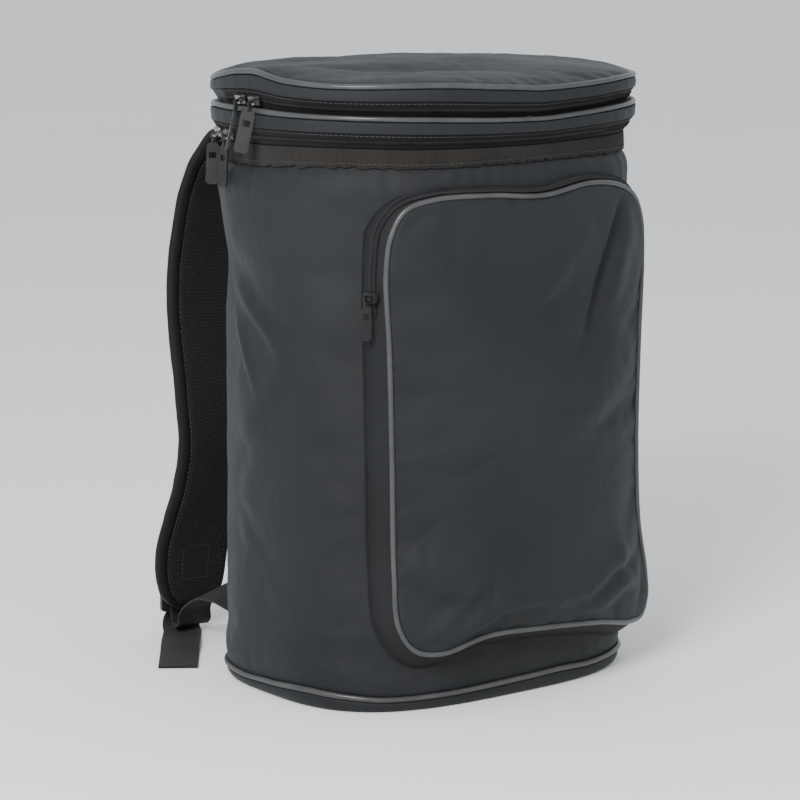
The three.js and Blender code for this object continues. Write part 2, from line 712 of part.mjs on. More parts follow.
// The seam stands off the round wall by an ease, so its straight steps clear the wall between them.
function onWall(x, z) {
  return new THREE.Vector3(x, -frontDepth(x, z) - SEAM_EASE, z);
}

// A point of the gusset's outer face, from the seam (share 0) to the face's edge (share 1).
function gussetPoint(edge, share, out) {
  const swell = Math.sin(Math.PI * share) * GUSSET_SWELL;
  return edge.seam.clone().lerp(edge.face, share).addScaledVector(edge.away, swell + out);
}

function makeGusset() {
  const rings = pocketEdge.map((edge) => {
    const front = new THREE.Vector3(0, POCKET_PIPING_SEAT, 0);
    const frontLining = gussetPoint(edge, 1, -POCKET_CLOTH).add(front);
    const middleLining = edge.lining.clone().lerp(frontLining, 0.5).addScaledVector(edge.away, GUSSET_SWELL);
    return [
      edge.seam,
      gussetPoint(edge, 0.5, 0),
      gussetPoint(edge, 1, 0).add(front),
      frontLining,
      middleLining,
      edge.lining,
    ];
  });
  addMesh("pocket_gusset", loft(rings, true), MATERIALS.fabric);
}

// The shares of the way out from its middle where the pocket's face has its rings.
const FACE_SHARES = [0.35, 0.7, 0.93, 1];

function makePocketFace() {
  const soft = POCKET_CLOTH / 2;
  const ringAt = (share, side) =>
    pocketEdge.map((edge) => {
      const rim = edge.face.clone().addScaledVector(edge.away, -POCKET_PIPING_SEAT);
      const x = mix(POCKET_CENTRE_X, rim.x, share);
      const z = mix(POCKET_CENTRE_Z, rim.z, share);
      return new THREE.Vector3(x, -pocketDepth(x) - side * soft, z);
    });
  const front = FACE_SHARES.map((share) => ringAt(share, 1));
  const back = FACE_SHARES.toReversed().map((share) => ringAt(share, -1));
  const tip = (side) => {
    const y = -pocketDepth(POCKET_CENTRE_X) - side * soft;
    return new THREE.Vector3(POCKET_CENTRE_X, y, POCKET_CENTRE_Z);
  };
  addMesh("pocket_face", loft([...front, ...back], false, [tip(1), tip(-1)]), MATERIALS.fabric);
}

function makePocketPiping() {
  const rings = pocketEdge.map((edge) =>
    pipingProfile(0, 0).map((corner) =>
      edge.face
        .clone()
        .addScaledVector(edge.away, corner.out)
        .add(new THREE.Vector3(0, corner.height, 0)),
    ),
  );
  addMesh("pocket_piping", loft(rings, true), MATERIALS.piping);
}

// A place part way between one step of the pocket's edge and the next.
function edgeBetween(index, share) {
  const here = pocketEdge[index % POCKET_STEPS];
  const next = pocketEdge[(index + 1) % POCKET_STEPS];
  const between = (key) => here[key].clone().lerp(next[key], share);
  return { face: between("face"), seam: between("seam"), away: between("away").normalize() };
}

// The step of the pocket's edge, from first to last, after which its height crosses z.
function crossing(first, last, z) {
  for (let i = first; i < last; i++) {
    const low = pocketEdge[i % POCKET_STEPS].face.z;
    const high = pocketEdge[(i + 1) % POCKET_STEPS].face.z;
    if ((low - z) * (high - z) <= 0) return { index: i, share: (z - low) / (high - low) };
  }
  throw new Error("the pocket's edge doesn't reach that height");
}

// The zip strip runs along the gusset from just under its slider on the left, over the top, to the
// same height on the right.
function makePocketZip() {
  const foot = POCKET_SLIDER_HEIGHT - SLIDER_LENGTH;
  const left = crossing(Math.round(POCKET_STEPS * 0.75), POCKET_STEPS, foot);
  const right = crossing(Math.round(POCKET_STEPS * 0.25), Math.round(POCKET_STEPS * 0.5), foot);
  const edges = [edgeBetween(left.index, left.share)];
  for (let i = left.index + 1; i <= POCKET_STEPS + right.index; i++) edges.push(edgeBetween(i, 0));
  edges.push(edgeBetween(right.index, right.share));
  const half = POCKET_ZIP_WIDTH / 2;
  const lift = POCKET_ZIP_LIFT;
  const rings = edges.map((edge) => {
    const depth = edge.seam.distanceTo(edge.face);
    const low = 0.5 - half / depth;
    const high = 0.5 + (half / depth) * 0.8;
    return [
      gussetPoint(edge, low, lift),
      gussetPoint(edge, low, lift + POCKET_ZIP_THICKNESS),
      gussetPoint(edge, 0.5, lift + POCKET_ZIP_THICKNESS * 1.5),
      gussetPoint(edge, high, lift + POCKET_ZIP_THICKNESS),
      gussetPoint(edge, high, lift),
      gussetPoint(edge, 0.5, lift),
    ];
  });
  addMesh("pocket_zip", loft(rings, false), MATERIALS.zip);
}

// Sliders and pull tabs.

function roundedRectangle(width, height, radius) {
  const shape = new THREE.Shape();
  const [w, h] = [width / 2, height / 2];
  shape.moveTo(-w + radius, -h);
  shape.lineTo(w - radius, -h);
  shape.absarc(w - radius, -h + radius, radius, -Math.PI / 2, 0);
  shape.lineTo(w, h - radius);
  shape.absarc(w - radius, h - radius, radius, 0, Math.PI / 2);
  shape.lineTo(-w + radius, h);
  shape.absarc(-w + radius, h - radius, radius, Math.PI / 2, Math.PI);
  shape.lineTo(-w, -h + radius);
  shape.absarc(-w + radius, -h + radius, radius, Math.PI, Math.PI * 1.5);
  return shape;
}

function plate(shape, thickness, segments = 3) {
  const geometry = new THREE.ExtrudeGeometry(shape, {
    depth: thickness,
    bevelEnabled: false,
    curveSegments: segments,
  });
  return geometry.translate(0, 0, -thickness / 2);
}

// A slider in its own frame: X along the zip, Y up, Z out of the bag. Its plate lies from Z = 0 and its
// crown arches over the pull tab's eye.
const CROWN_TOP = SLIDER_PLATE + CROWN_HEIGHT;
const PIVOT_OUT = CROWN_TOP - CROWN_BAR / 2;

function sliderGeometry() {
  const base = plate(roundedRectangle(SLIDER_LENGTH, SLIDER_WIDTH, SLIDER_CORNER), SLIDER_PLATE, 2);
  base.translate(0, 0, SLIDER_PLATE / 2);
  const end = CROWN_LENGTH / 2;
  const side = new THREE.Shape();
  side.moveTo(-end, -CROWN_SINK);
  side.lineTo(end, -CROWN_SINK);
  side.lineTo(end, CROWN_HEIGHT - CROWN_CHAMFER);
  side.lineTo(end - CROWN_CHAMFER, CROWN_HEIGHT);
  side.lineTo(-end + CROWN_CHAMFER, CROWN_HEIGHT);
  side.lineTo(-end, CROWN_HEIGHT - CROWN_CHAMFER);
  const inner = end - CROWN_BAR;
  const sole = GAP / 3;
  const eye = new THREE.Path();
  eye.moveTo(-inner, sole);
  eye.lineTo(-inner, CROWN_HEIGHT - CROWN_BAR);
  eye.lineTo(inner, CROWN_HEIGHT - CROWN_BAR);
  eye.lineTo(inner, sole);
  side.holes.push(eye);
  const crown = plate(side, CROWN_BAR);
  crown.rotateX(Math.PI / 2).translate(0, 0, SLIDER_PLATE);
  return joined([base, crown]);
}

// A pull tab in its own frame: it hangs down -Y from its eye at the origin, and the crown's bar runs
// through the eye along X. turn is the angle of the tab's flat about its length.
function tabGeometry(length, width, turn) {
  const ring = new THREE.Shape();
  ring.absarc(0, 0, TAB_EYE, 0, Math.PI * 2);
  const bore = new THREE.Path();
  bore.absarc(0, 0, TAB_EYE - TAB_EYE_WIRE, 0, Math.PI * 2, true);
  ring.holes.push(bore);
  const eye = plate(ring, TAB_THICKNESS, 4).rotateY(Math.PI / 2);
  const neckWidth = TAB_THICKNESS * 1.4;
  const neck = plate(roundedRectangle(neckWidth, TAB_NECK, neckWidth * 0.2), neckWidth, 1);
  neck.translate(0, -TAB_EYE - TAB_NECK * 0.3, 0);
  const bladeTop = TAB_EYE + TAB_NECK * 0.7;
  const bladeLength = length - bladeTop;
  const flat = roundedRectangle(width, bladeLength, width * 0.28);
  flat.holes.push(windowIn((TAB_WINDOW_WIDTH * width) / TAB_WIDTH, bladeLength * 0.2));
  const blade = plate(flat, TAB_THICKNESS, 2);
  blade.translate(0, -bladeTop - bladeLength / 2, 0).rotateY(turn);
  return joined([eye, neck, blade]);
}

// The small window in a tab's upper half, its middle a little above the tab's.
function windowIn(width, middle) {
  const [w, h] = [width / 2, TAB_WINDOW_HEIGHT / 2];
  const path = new THREE.Path();
  path.moveTo(-w, middle - h);
  path.lineTo(-w, middle + h);
  path.lineTo(w, middle + h);
  path.lineTo(w, middle - h);
  return path;
}

// A group whose X runs along the zip, Y up it and Z out of the bag.
function frameGroup(position, along, up) {
  const group = new THREE.Group();
  const out = new THREE.Vector3().crossVectors(along, up).normalize();
  const upright = new THREE.Vector3().crossVectors(out, along).normalize();
  group.quaternion.setFromRotationMatrix(new THREE.Matrix4().makeBasis(along, upright, out));
  group.position.copy(position);
  bag.add(group);
  return group;
}

// A slider with its pull tab, which hangs leaning out by lean from the slider's crown.
function placeSlider(name, group, lean, turn, length, width) {
  const body = new THREE.Mesh(sliderGeometry(), MATERIALS.metal);
  body.name = name + "_slider";
  group.add(body);
  const tab = new THREE.Mesh(tabGeometry(length, width, turn), MATERIALS.pull);
  tab.name = name + "_pull";
  tab.position.set(0, 0, PIVOT_OUT);
  tab.rotation.set(-lean, 0, 0);
  group.add(tab);
}

const RIM_PULLS = [
  { name: "upper_front", face: UPPER_ZIP_FACE, around: 0.263, lean: 0.27, turn: 0.95 },
  { name: "upper_rear", face: UPPER_ZIP_FACE, around: 0.238, lean: 0.26, turn: -0.5 },
  { name: "lower_front", face: LOWER_ZIP_FACE, around: 0.214, lean: 0.05, turn: 0.2 },
  { name: "lower_rear", face: LOWER_ZIP_FACE, around: 0.19, lean: 0.05, turn: 0.9 },
];

// Each slider lies on its zip's slope, and its tab still hangs from the crown by its own lean.
function makeRimSliders() {
  for (const { name, face, around, lean, turn } of RIM_PULLS) {
    const middle = face.foot + ZIP_HEIGHT / 2;
    const { point, out: away, along } = surfaceFrame(around, middle);
    const slope = Math.atan2(face.topOut - face.footOut, ZIP_HEIGHT);
    const up = away.clone().multiplyScalar(Math.sin(slope)).setZ(Math.cos(slope));
    const normal = new THREE.Vector3().crossVectors(along, up);
    const seat = point.clone().addScaledVector(away, (face.footOut + face.topOut) / 2);
    const group = frameGroup(seat.addScaledVector(normal, COIL_RIDGE + GAP), along, up);
    placeSlider(name, group, lean + slope, turn, TAB_LENGTH, TAB_WIDTH);
  }
}

function makePocketSlider() {
  const { index, share } = crossing(Math.round(POCKET_STEPS * 0.75), POCKET_STEPS, POCKET_SLIDER_HEIGHT);
  const edge = edgeBetween(index, share);
  const seat = gussetPoint(edge, 0.5, POCKET_ZIP_LIFT + POCKET_ZIP_THICKNESS * 1.5 + GAP);
  const across = edge.face.clone().sub(edge.seam).setZ(0).normalize();
  const group = frameGroup(seat, across, new THREE.Vector3(0, 0, 1));
  placeSlider("pocket", group, 0, POCKET_PULL_TURN, TAB_LENGTH * 0.84, TAB_WIDTH * 0.8);
}

// Straps.

// The back of the bag at a place across, outside its binding.
function backDepth(x, z) {
  const section = sectionAt(z);
  const share = Math.abs(x) / section.halfWidth;
  return section.halfDepth * (1 - share ** section.squareness) ** (1 / section.squareness);
}

// A ribbon-like solid along stations. Each has a centre, the direction of its width, its width and its
// thickness. offset shifts it along its normal, which points to the bag where a strap runs down.
function ribbon(stations, sides, offset = 0) {
  const centres = stations.map((station) => station.centre);
  const rings = stations.map((station, i) => {
    const before = centres[Math.max(i - 1, 0)];
    const after = centres[Math.min(i + 1, centres.length - 1)];
    const run = (station.run ?? after.clone().sub(before)).clone().normalize();
    const normal = new THREE.Vector3().crossVectors(run, station.side).normalize();
    const side = new THREE.Vector3().crossVectors(normal, run);
    const middle = station.centre.clone().addScaledVector(normal, offset);
    return sectionCorners(sides, station.width / 2, station.thickness / 2).map(([across, thick]) =>
      middle.clone().addScaledVector(side, across).addScaledVector(normal, thick),
    );
  });
  return loft(rings, false);
}

// The corners of a ribbon's section: a plain rectangle, or a rounded one with more sides.
function sectionCorners(sides, halfWidth, halfThickness) {
  if (sides === 4) {
    return [
      [-halfWidth, -halfThickness],
      [halfWidth, -halfThickness],
      [halfWidth, halfThickness],
      [-halfWidth, halfThickness],
    ];
  }
  return Array.from({ length: sides }, (_, i) => {
    const angle = (2 * Math.PI * (i + 0.5)) / sides;
    return [
      halfWidth * signedPower(Math.cos(angle), STRAP_EDGE_POWER),
      halfThickness * signedPower(Math.sin(angle), STRAP_FACE_POWER),
    ];
  });
}

// The strap's stations from under the rim to its rounded end.
function strapStations() {
  return STRAP_ROWS.map((row) => {
    const x = (row.across * BAG_WIDTH) / 2;
    const y = BAG_DEPTH / 2 + row.back * STRAP_ARCH;
    return {
      centre: new THREE.Vector3(x, y, STRAP_FOOT + row.up * STRAP_DROP),
      side: turned(row.turn),
      width: row.wide * STRAP_WIDTH,
      thickness: row.thick * STRAP_THICKNESS,
    };
  });
}

// The level direction of a strap's width at an angle in degrees.
function turned(degrees) {
  const angle = THREE.MathUtils.degToRad(degrees);
  return new THREE.Vector3(Math.cos(angle), Math.sin(angle), 0);
}

// The sewn end: it lies flat against the binding under the rim.
function strapSeat() {
  const x = (STRAP_ROWS[0].across * BAG_WIDTH) / 2;
  const side = turned(STRAP_SEAT_TURN);
  const clear = GAP * 3;
  return {
    centre: new THREE.Vector3(x, backDepth(x, STRAP_SEAT_HEIGHT) + clear, STRAP_SEAT_HEIGHT),
    side,
    run: new THREE.Vector3(-side.y, side.x, 0),
    width: STRAP_WIDTH,
    thickness: STRAP_SEAT_THICKNESS,
  };
}

// The padded strap and the air mesh on its face towards the bag.
function strapPieces() {
  const stations = strapStations();
  const inner = stations.slice(1, -2).map((station) => ({
    ...station,
    width: station.width - 2 * MESH_MARGIN,
    thickness: MESH_THICKNESS,
  }));
  const lift = (STRAP_THICKNESS + MESH_THICKNESS) / 2 + GAP;
  return [
    { name: "strap_pad", geometry: ribbon([strapSeat(), ...stations], 8), material: MATERIALS.fabric },
    { name: "strap_mesh", geometry: ribbon(inner, 4, lift), material: MATERIALS.mesh },
  ];
}

// Lengths behind the strap's lower end: the buckle lies on the webbing that lies on the pad.
const PAD_BACK = BAG_DEPTH / 2 + STRAP_ARCH + STRAP_THICKNESS / 2;
const INNER_PLY = PAD_BACK + GAP + WEB_THICKNESS / 2;
const BUCKLE_Y = INNER_PLY + WEB_THICKNESS / 2 + GAP + BUCKLE_THICKNESS / 2;
const OUTER_PLY = BUCKLE_Y + BUCKLE_THICKNESS / 2 + GAP + WEB_THICKNESS / 2;
const STRAP_END_X = (STRAP_ROWS[STRAP_ROWS.length - 1].across * BAG_WIDTH) / 2;
const BAR_PITCH = (BUCKLE_HEIGHT - BUCKLE_BAR) / 2;

// A ladder buckle: three bars in a rounded frame.
function buckleGeometry() {
  const frame = roundedRectangle(BUCKLE_WIDTH, BUCKLE_HEIGHT, BUCKLE_CORNER);
  const half = { w: WEB_WIDTH / 2 + WEB_PLAY, h: (BAR_PITCH - BUCKLE_BAR) / 2 };
  for (const middle of [BAR_PITCH / 2, -BAR_PITCH / 2]) {
    const slot = new THREE.Path();
    slot.moveTo(-half.w, middle - half.h);
    slot.lineTo(-half.w, middle + half.h);
    slot.lineTo(half.w, middle + half.h);
    slot.lineTo(half.w, middle - half.h);
    frame.holes.push(slot);
  }
  const geometry = plate(frame, BUCKLE_THICKNESS, 4).rotateX(Math.PI / 2);
  return geometry.translate(STRAP_END_X, BUCKLE_Y, BUCKLE_CENTRE_Z);
}

// Stops of a half turn of webbing round a buckle bar at a height: over is 1 over it, -1 under it.
function turnRound(height, over) {
  const middleY = (INNER_PLY + OUTER_PLY) / 2;
  const reach = (OUTER_PLY - INNER_PLY) / 2;
  const clear = WEB_THICKNESS / 2 + GAP * 3;
  return [0, 0.2, 0.5, 0.8, 1].map((share) => {
    const angle = Math.PI * share;
    const rise = over * (BUCKLE_BAR / 2 + Math.sin(angle) * clear);
    return stop(STRAP_END_X, middleY - reach * Math.cos(angle), height + rise);
  });
}

// Webbing along a list of stops: a place and the direction of its width there.
function webbing(stops) {
  const stations = stops.map(({ at, side }) => ({
    centre: at,
    side: side.clone().normalize(),
    width: WEB_WIDTH,
    thickness: WEB_THICKNESS,
  }));
  return ribbon(stations, 4);
}

// A stop of webbing whose width points along X, with shares of it towards +Y and +Z.
function stop(x, y, z, toward = 0, tilt = 0) {
  return { at: new THREE.Vector3(x, y, z), side: new THREE.Vector3(1, toward, tilt) };
}

// The short loop of webbing that holds the buckle's top bar to the strap.
function buckleLoopGeometry() {
  const bar = BUCKLE_CENTRE_Z + BAR_PITCH;
  const doubledPly = INNER_PLY + WEB_THICKNESS + GAP;
  return webbing([
    stop(STRAP_END_X, INNER_PLY, bar + LOOP_LENGTH),
    stop(STRAP_END_X, INNER_PLY, bar + BUCKLE_BAR / 2),
    ...turnRound(bar, -1),
    ...LOOP_ROWS.map(({ up, doubled }) =>
      stop(STRAP_END_X, doubled ? doubledPly : OUTER_PLY, bar + up * LOOP_LENGTH),
    ),
  ]);
}

// The adjusting web: out of the bag's bottom corner, in a low arch and down to a sharp dip under the
// strap's end, up behind the buckle, over its middle bar, and down to the floor as a free tail that
// lies towards the front.
function adjusterWebGeometry() {
  const leave = backDepth(STRAP_END_X + WEB_WIDTH / 2, WEB_LEAVE_Z) + GAP + WEB_THICKNESS;
  const under = BUCKLE_CENTRE_Z - BUCKLE_HEIGHT / 2;
  const floor = WEB_THICKNESS / 2 + GAP * 1.5;
  const swayed = (sway) => STRAP_END_X - WEB_SWAY * sway;
  const arch = WEB_ROWS.map((row) =>
    stop(swayed(row.sway), mix(leave, INNER_PLY, row.over), WEB_LEAVE_Z * row.up, row.toward, row.tilt),
  );
  const drop = DROP_ROWS.map((row) =>
    stop(swayed(row.sway), OUTER_PLY + WEB_SWAY * row.back, floor + WEB_LEAVE_Z * row.up, row.toward),
  );
  const landing = drop[drop.length - 1].at;
  const side = turned(-TAIL_TURN);
  const tail = TAIL_ROWS.map((row) => {
    const at = landing.clone().addScaledVector(new THREE.Vector3(side.y, -side.x, 0), TAIL_REACH * row.along);
    return { at: at.setZ(floor + TAIL_HUMP * row.rise), side };
  });
  return webbing([
    ...arch,
    stop(STRAP_END_X, INNER_PLY, under),
    ...turnRound(BUCKLE_CENTRE_Z, 1),
    stop(STRAP_END_X, OUTER_PLY, under + GAP * 3),
    ...drop,
    ...tail,
  ]);
}

// The same solid on the other side of the bag.
function mirrored(geometry) {
  const copy = mergeVertices(geometry.clone().deleteAttribute("normal"), 1e-4);
  copy.scale(-1, 1, 1);
  copy.setIndex(Array.from(copy.index.array).reverse());
  copy.computeVertexNormals();
  return copy;
}

function makeStraps() {
  const pieces = [
    ...strapPieces(),
    { name: "buckle", geometry: buckleGeometry(), material: MATERIALS.plastic },
    { name: "buckle_loop", geometry: buckleLoopGeometry(), material: MATERIALS.webbing },
    { name: "adjuster_web", geometry: adjusterWebGeometry(), material: MATERIALS.webbing },
  ];
  for (const { name, geometry, material } of pieces) {
    addMesh(name + "_left", geometry, material);
    addMesh(name + "_right", mirrored(geometry), material);
  }
}

makeBase();
makeWall();
makeBinding();
makeZip("lower", LOWER_ZIP_FACE, HINGE_LOWER);
makeExpander();
makeZip("upper", UPPER_ZIP_FACE, HINGE_UPPER);
makeLid();
makeGusset();
makePocketFace();
makePocketPiping();
makePocketZip();
makeRimSliders();
makePocketSlider();
makeStraps();

export default bag;
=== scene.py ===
# The looks of a padded drum bag worn on the back: padded cloth wall and lid, piped rims, coil zips,
# a bowed pocket with folds, shoulder straps with air mesh, and webbing laid on the floor.
# Lengths are in millimetres until a mesh is made, in the same frame as the solids.
import json
import math

import bpy
import numpy as np
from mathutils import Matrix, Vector, noise


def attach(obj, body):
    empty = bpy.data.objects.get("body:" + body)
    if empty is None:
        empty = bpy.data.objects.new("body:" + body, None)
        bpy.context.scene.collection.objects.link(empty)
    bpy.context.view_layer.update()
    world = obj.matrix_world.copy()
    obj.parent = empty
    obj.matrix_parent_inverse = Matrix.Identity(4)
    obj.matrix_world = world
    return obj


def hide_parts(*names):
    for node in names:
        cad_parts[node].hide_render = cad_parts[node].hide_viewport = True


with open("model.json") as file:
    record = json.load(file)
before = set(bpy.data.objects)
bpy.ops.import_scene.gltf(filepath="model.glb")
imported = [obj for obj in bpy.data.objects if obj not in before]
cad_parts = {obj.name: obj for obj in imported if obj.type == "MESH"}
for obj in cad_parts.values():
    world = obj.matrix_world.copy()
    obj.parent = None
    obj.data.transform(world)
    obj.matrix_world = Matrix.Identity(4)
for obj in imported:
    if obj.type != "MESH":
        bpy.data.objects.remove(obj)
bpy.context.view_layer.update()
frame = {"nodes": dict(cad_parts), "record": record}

MM = 0.001
BODY = "bag"

# The camera stands where the photograph's did.
CAMERA_PLACE = (-1.43608, -1.87548, 0.6289)
CAMERA_AZIMUTH = 37
CAMERA_PITCH = 10.198
CAMERA_LENS = 144
CAMERA_SENSOR = 36

# Light and floor: powers in watts, the floor's half width in metres.
FLOOR_HALF = 12
SKY_STRENGTH = 1
KEY_POWER = 86
FILL_POWER = 8
TOP_POWER = 3

# Clearance between pieces.
GAP = 0.3

# Padded drum.
BAG_WIDTH = 301.6
BAG_DEPTH = 247.6
BASE_HEIGHT = 11
BASE_EDGE = 7
WALL_HEIGHT = 393
WALL_THICKNESS = 8
WALL_BULGE = 3
SEAM_TUCK = 3.5
DENT_DEPTH = 3.4
RIM_WAVE = 7
PIPING_RADIUS = 2

# Bound mouth, zips, bands and lid.
BINDING_WIDTH = 13.6
BINDING_THICKNESS = 1.6
BINDING_RECESS = 2
ZIP_HEIGHT = 10.4
ZIP_THICKNESS = 1.8
ZIP_TUCK = 0.25
BAND_HEIGHT = 8.2
BAND_THICKNESS = 2.2
BAND_REACH = 8.6
FLANGE_RISE = 3.8
LID_THICKNESS = 6.4
LID_CROWN = 6.5
LID_EDGE = 4.7
HINGE_UPPER = 0.205
HINGE_LOWER = 0.172

# Front pocket.
POCKET_WIDTH = 232
POCKET_HEIGHT = 334
POCKET_CENTRE_X = 3
POCKET_CENTRE_Z = 207
POCKET_EDGE_DEPTH = 109
POCKET_BOW = 27
POCKET_BOW_HALF = 114
POCKET_CLOTH = 2.4
GUSSET_FLARE_SIDE = 6
GUSSET_FLARE_TOP = 5
GUSSET_FLARE_BOTTOM = 13
GUSSET_SWELL = 1.5
POCKET_ZIP_WIDTH = 7
POCKET_ZIP_THICKNESS = 1.3
POCKET_SLIDER_HEIGHT = 304

# Zip coils and stitches.
COIL_WIDTH = 3.8
POCKET_COIL_WIDTH = 2.6
COIL_PITCH = 1.5
COIL_WIRE = 0.5
STITCH_LENGTH = 2.6
STITCH_PITCH = 3.7
STITCH_RADIUS = 0.3

# Shoulder straps and webbing.
STRAP_WIDTH = 66
STRAP_THICKNESS = 11
STRAP_DROP = 380
STRAP_ARCH = 65
STRAP_SEAT_HEIGHT = 398
STRAP_FOOT = STRAP_SEAT_HEIGHT - STRAP_DROP
MESH_MARGIN = 8
MESH_THICKNESS = 1.4
MESH_CELL = 3.1
MESH_DEPTH = 0.9
WEB_WIDTH = 30
WEB_THICKNESS = 1.6
WEB_LEAVE_Z = 40
BUCKLE_HEIGHT = 27
BUCKLE_THICKNESS = 3
BUCKLE_BAR = 3.6
BUCKLE_CENTRE_Z = 31
WEB_SWAY = 5
LOOP_LENGTH = 42
TAIL_REACH = 112
TAIL_TURN = 34.8
TAIL_HUMP = 2.6
STRAP_SEAT_TURN = 18
STRAP_SEAT_THICKNESS = 5.5
PATCH_LENGTH = 28
PATCH_WIDTH = 24

# Padding: how far the simulated cloth may move, how strongly its folds show, how much longer than its
# frame it is cut, and how near the pocket's seam the wall is held.
WALL_PLAY = 1.8
LID_PLAY = 1.6
POCKET_PLAY = 3
WALL_FOLD_STRENGTH = 1.35
POCKET_FOLD_STRENGTH = 1.7
CLOTH_EASE = 0.02
CLOTH_PRESSURE = 4
CLOTH_FRAMES = 20
SEAM_HOLD = 7

# How finely the pieces are made: points round the bag and round the pocket's edge, rows of points up
# the wall and out from the middle of the lid and the pocket, and points round a section.
FINE = 540
EDGE_STEPS = 520
WALL_STEPS = 139
LID_STEPS = 64
POCKET_STEPS = 88
PIPING_SIDES = 14
ROD_SIDES = 5
STRAP_SIDES = 56
MESH_COLUMNS = 70
SHARP_ANGLE = 45

# Heights of the stacked rings, from the floor up.
WALL_FOOT = BASE_HEIGHT + GAP
WALL_TOP = WALL_FOOT + WALL_HEIGHT
BINDING_TOP = WALL_TOP + GAP + BINDING_THICKNESS
BINDING_FOOT = BINDING_TOP - BINDING_WIDTH
LOWER_ZIP_FOOT = BINDING_TOP + GAP
EXPANDER_FOOT = LOWER_ZIP_FOOT + ZIP_HEIGHT + GAP
EXPANDER_SHOULDER = EXPANDER_FOOT + BAND_HEIGHT
UPPER_ZIP_FOOT = EXPANDER_SHOULDER + FLANGE_RISE + GAP
LID_BAND_FOOT = UPPER_ZIP_FOOT + ZIP_HEIGHT + GAP
LID_BAND_TOP = LID_BAND_FOOT + BAND_HEIGHT
EXPANDER_PIPING_Z = EXPANDER_SHOULDER + GAP + PIPING_RADIUS
LID_PIPING_Z = LID_BAND_TOP + GAP + PIPING_RADIUS


def table(names, rows):
    """A table's rows as dictionaries, one value to each of the named columns."""
    return [dict(zip(names.split(), row)) for row in rows]


# The drum's level sections: superellipses whose width and depth are shares of the bag's.
SECTIONS = table("level width depth squareness", [
    (0, 0.973, 0.897, 3.0),
    (0.5, 0.986, 0.948, 2.67),
    (1, 1, 1, 2.33),
])

# How far the padded wall stands out, as shares of its bulge, by its height.
WALL_ROWS = table("level out", [
    (0.0, -0.2), (0.03, 0), (0.13, 0.25), (0.3, 0), (0.52, 0.1), (0.66, 0), (0.76, 0.1), (0.86, 0.6),
    (0.925, 1), (0.955, 0.4), (0.97, -0.5),
])

# Soft hollows in the wall, placed round the drum and up it, depths as shares of the dent depth.
DENTS = table("around level wide tall deep", [
    (0.2, 0.76, 0.06, 0.06, 1),
    (0.235, 0.66, 0.03, 0.08, 0.6),
    (0.28, 0.52, 0.03, 0.1, 0.5),
    (0.02, 0.5, 0.09, 0.2, 0.7),
    (0.79, 0.6, 0.05, 0.12, 0.7),
])

# Creases in the wall: a path of places round the drum and up it, the width of the crease, how much
# narrower its steep side is, and how far it stands out, in millimetres.
WALL_FOLDS = table("path wide steep rise", [
    ([(0.2, 0.74), (0.235, 0.695), (0.262, 0.662), (0.283, 0.615)], 8, 0.6, 2.2),
    ([(0.287, 0.625), (0.272, 0.57), (0.25, 0.515), (0.215, 0.45)], 8, 1.7, 1.8),
    ([(0.207, 0.68), (0.228, 0.61), (0.248, 0.54)], 5, 0.7, 1.5),
    ([(0.3, 0.93), (0.306, 0.8), (0.3, 0.66)], 13, 1, 1.0),
    ([(0.36, 0.9), (0.35, 0.72), (0.335, 0.55)], 14, 1, -1.2),
    ([(0.8, 0.78), (0.765, 0.7), (0.74, 0.6)], 8, 0.6, 1.8),
    ([(0.735, 0.6), (0.76, 0.52), (0.79, 0.47)], 8, 1.6, 1.5),
    ([(-0.06, 0.62), (0.0, 0.57), (0.07, 0.6)], 10, 0.7, 1.6),
    ([(-0.05, 0.42), (0.02, 0.37), (0.06, 0.4)], 12, 0.7, 1.3),
])

# The wavy rims: how far each one rides up, as shares of the rim wave, round the bag.
RIM_ROWS = table("around binding expander lid", [
    (0.0, -0.25, 0, -0.1),
    (0.08, -0.5, 0, 0.1),
    (0.13, -0.8, 0.1, -0.3),
    (0.165, -0.6, 0.2, -0.5),
    (0.2, -0.4, 0.38, 0.15),
    (0.23, -0.35, 0.35, 0.8),
    (0.26, -0.3, 0.3, 1),
    (0.3, 0, 0.2, 0.2),
    (0.34, 0.13, 0.1, -0.1),
    (0.4, 0, -0.1, 0),
    (0.46, 0.15, -0.4, -0.4),
    (0.51, 0.2, -0.5, -0.72),
    (0.56, 0.25, -0.25, -0.6),
    (0.62, 0.05, 0, -0.35),
    (0.68, -0.1, 0, -0.6),
    (0.74, -0.2, 0, -0.15),
    (0.86, -0.15, 0, -0.2),
    (0.93, -0.2, 0, 0),
])

# How far the base seam rides up round the bag, in millimetres.
BASE_ROWS = table("around rise", [
    (0.0, 0.6), (0.1, -0.6), (0.22, -1.5), (0.26, 0.6), (0.3, 2.8), (0.34, 1.2), (0.38, -1),
    (0.44, -0.4), (0.5, 1.2), (0.54, 2.4), (0.58, 1), (0.62, 1.5), (0.75, -0.8), (0.88, 0.4),
])

# The pocket's piped outline, clockwise from the top left corner, as shares of its width and height.
POCKET_OUTLINE = [
    (-0.5, 0.42), (-0.46, 0.472), (-0.38, 0.493), (-0.2, 0.497), (-0.01, 0.489), (0.2, 0.505),
    (0.36, 0.49), (0.455, 0.458), (0.503, 0.405), (0.515, 0.32), (0.498, 0.12), (0.49, -0.1),
    (0.515, -0.28), (0.575, -0.405), (0.585, -0.465), (0.545, -0.502), (0.46, -0.503),
    (0.27, -0.475), (0.02, -0.455), (-0.2, -0.453), (-0.35, -0.482), (-0.43, -0.472),
    (-0.478, -0.42), (-0.492, -0.3), (-0.498, -0.05), (-0.505, 0.18), (-0.514, 0.34),
]

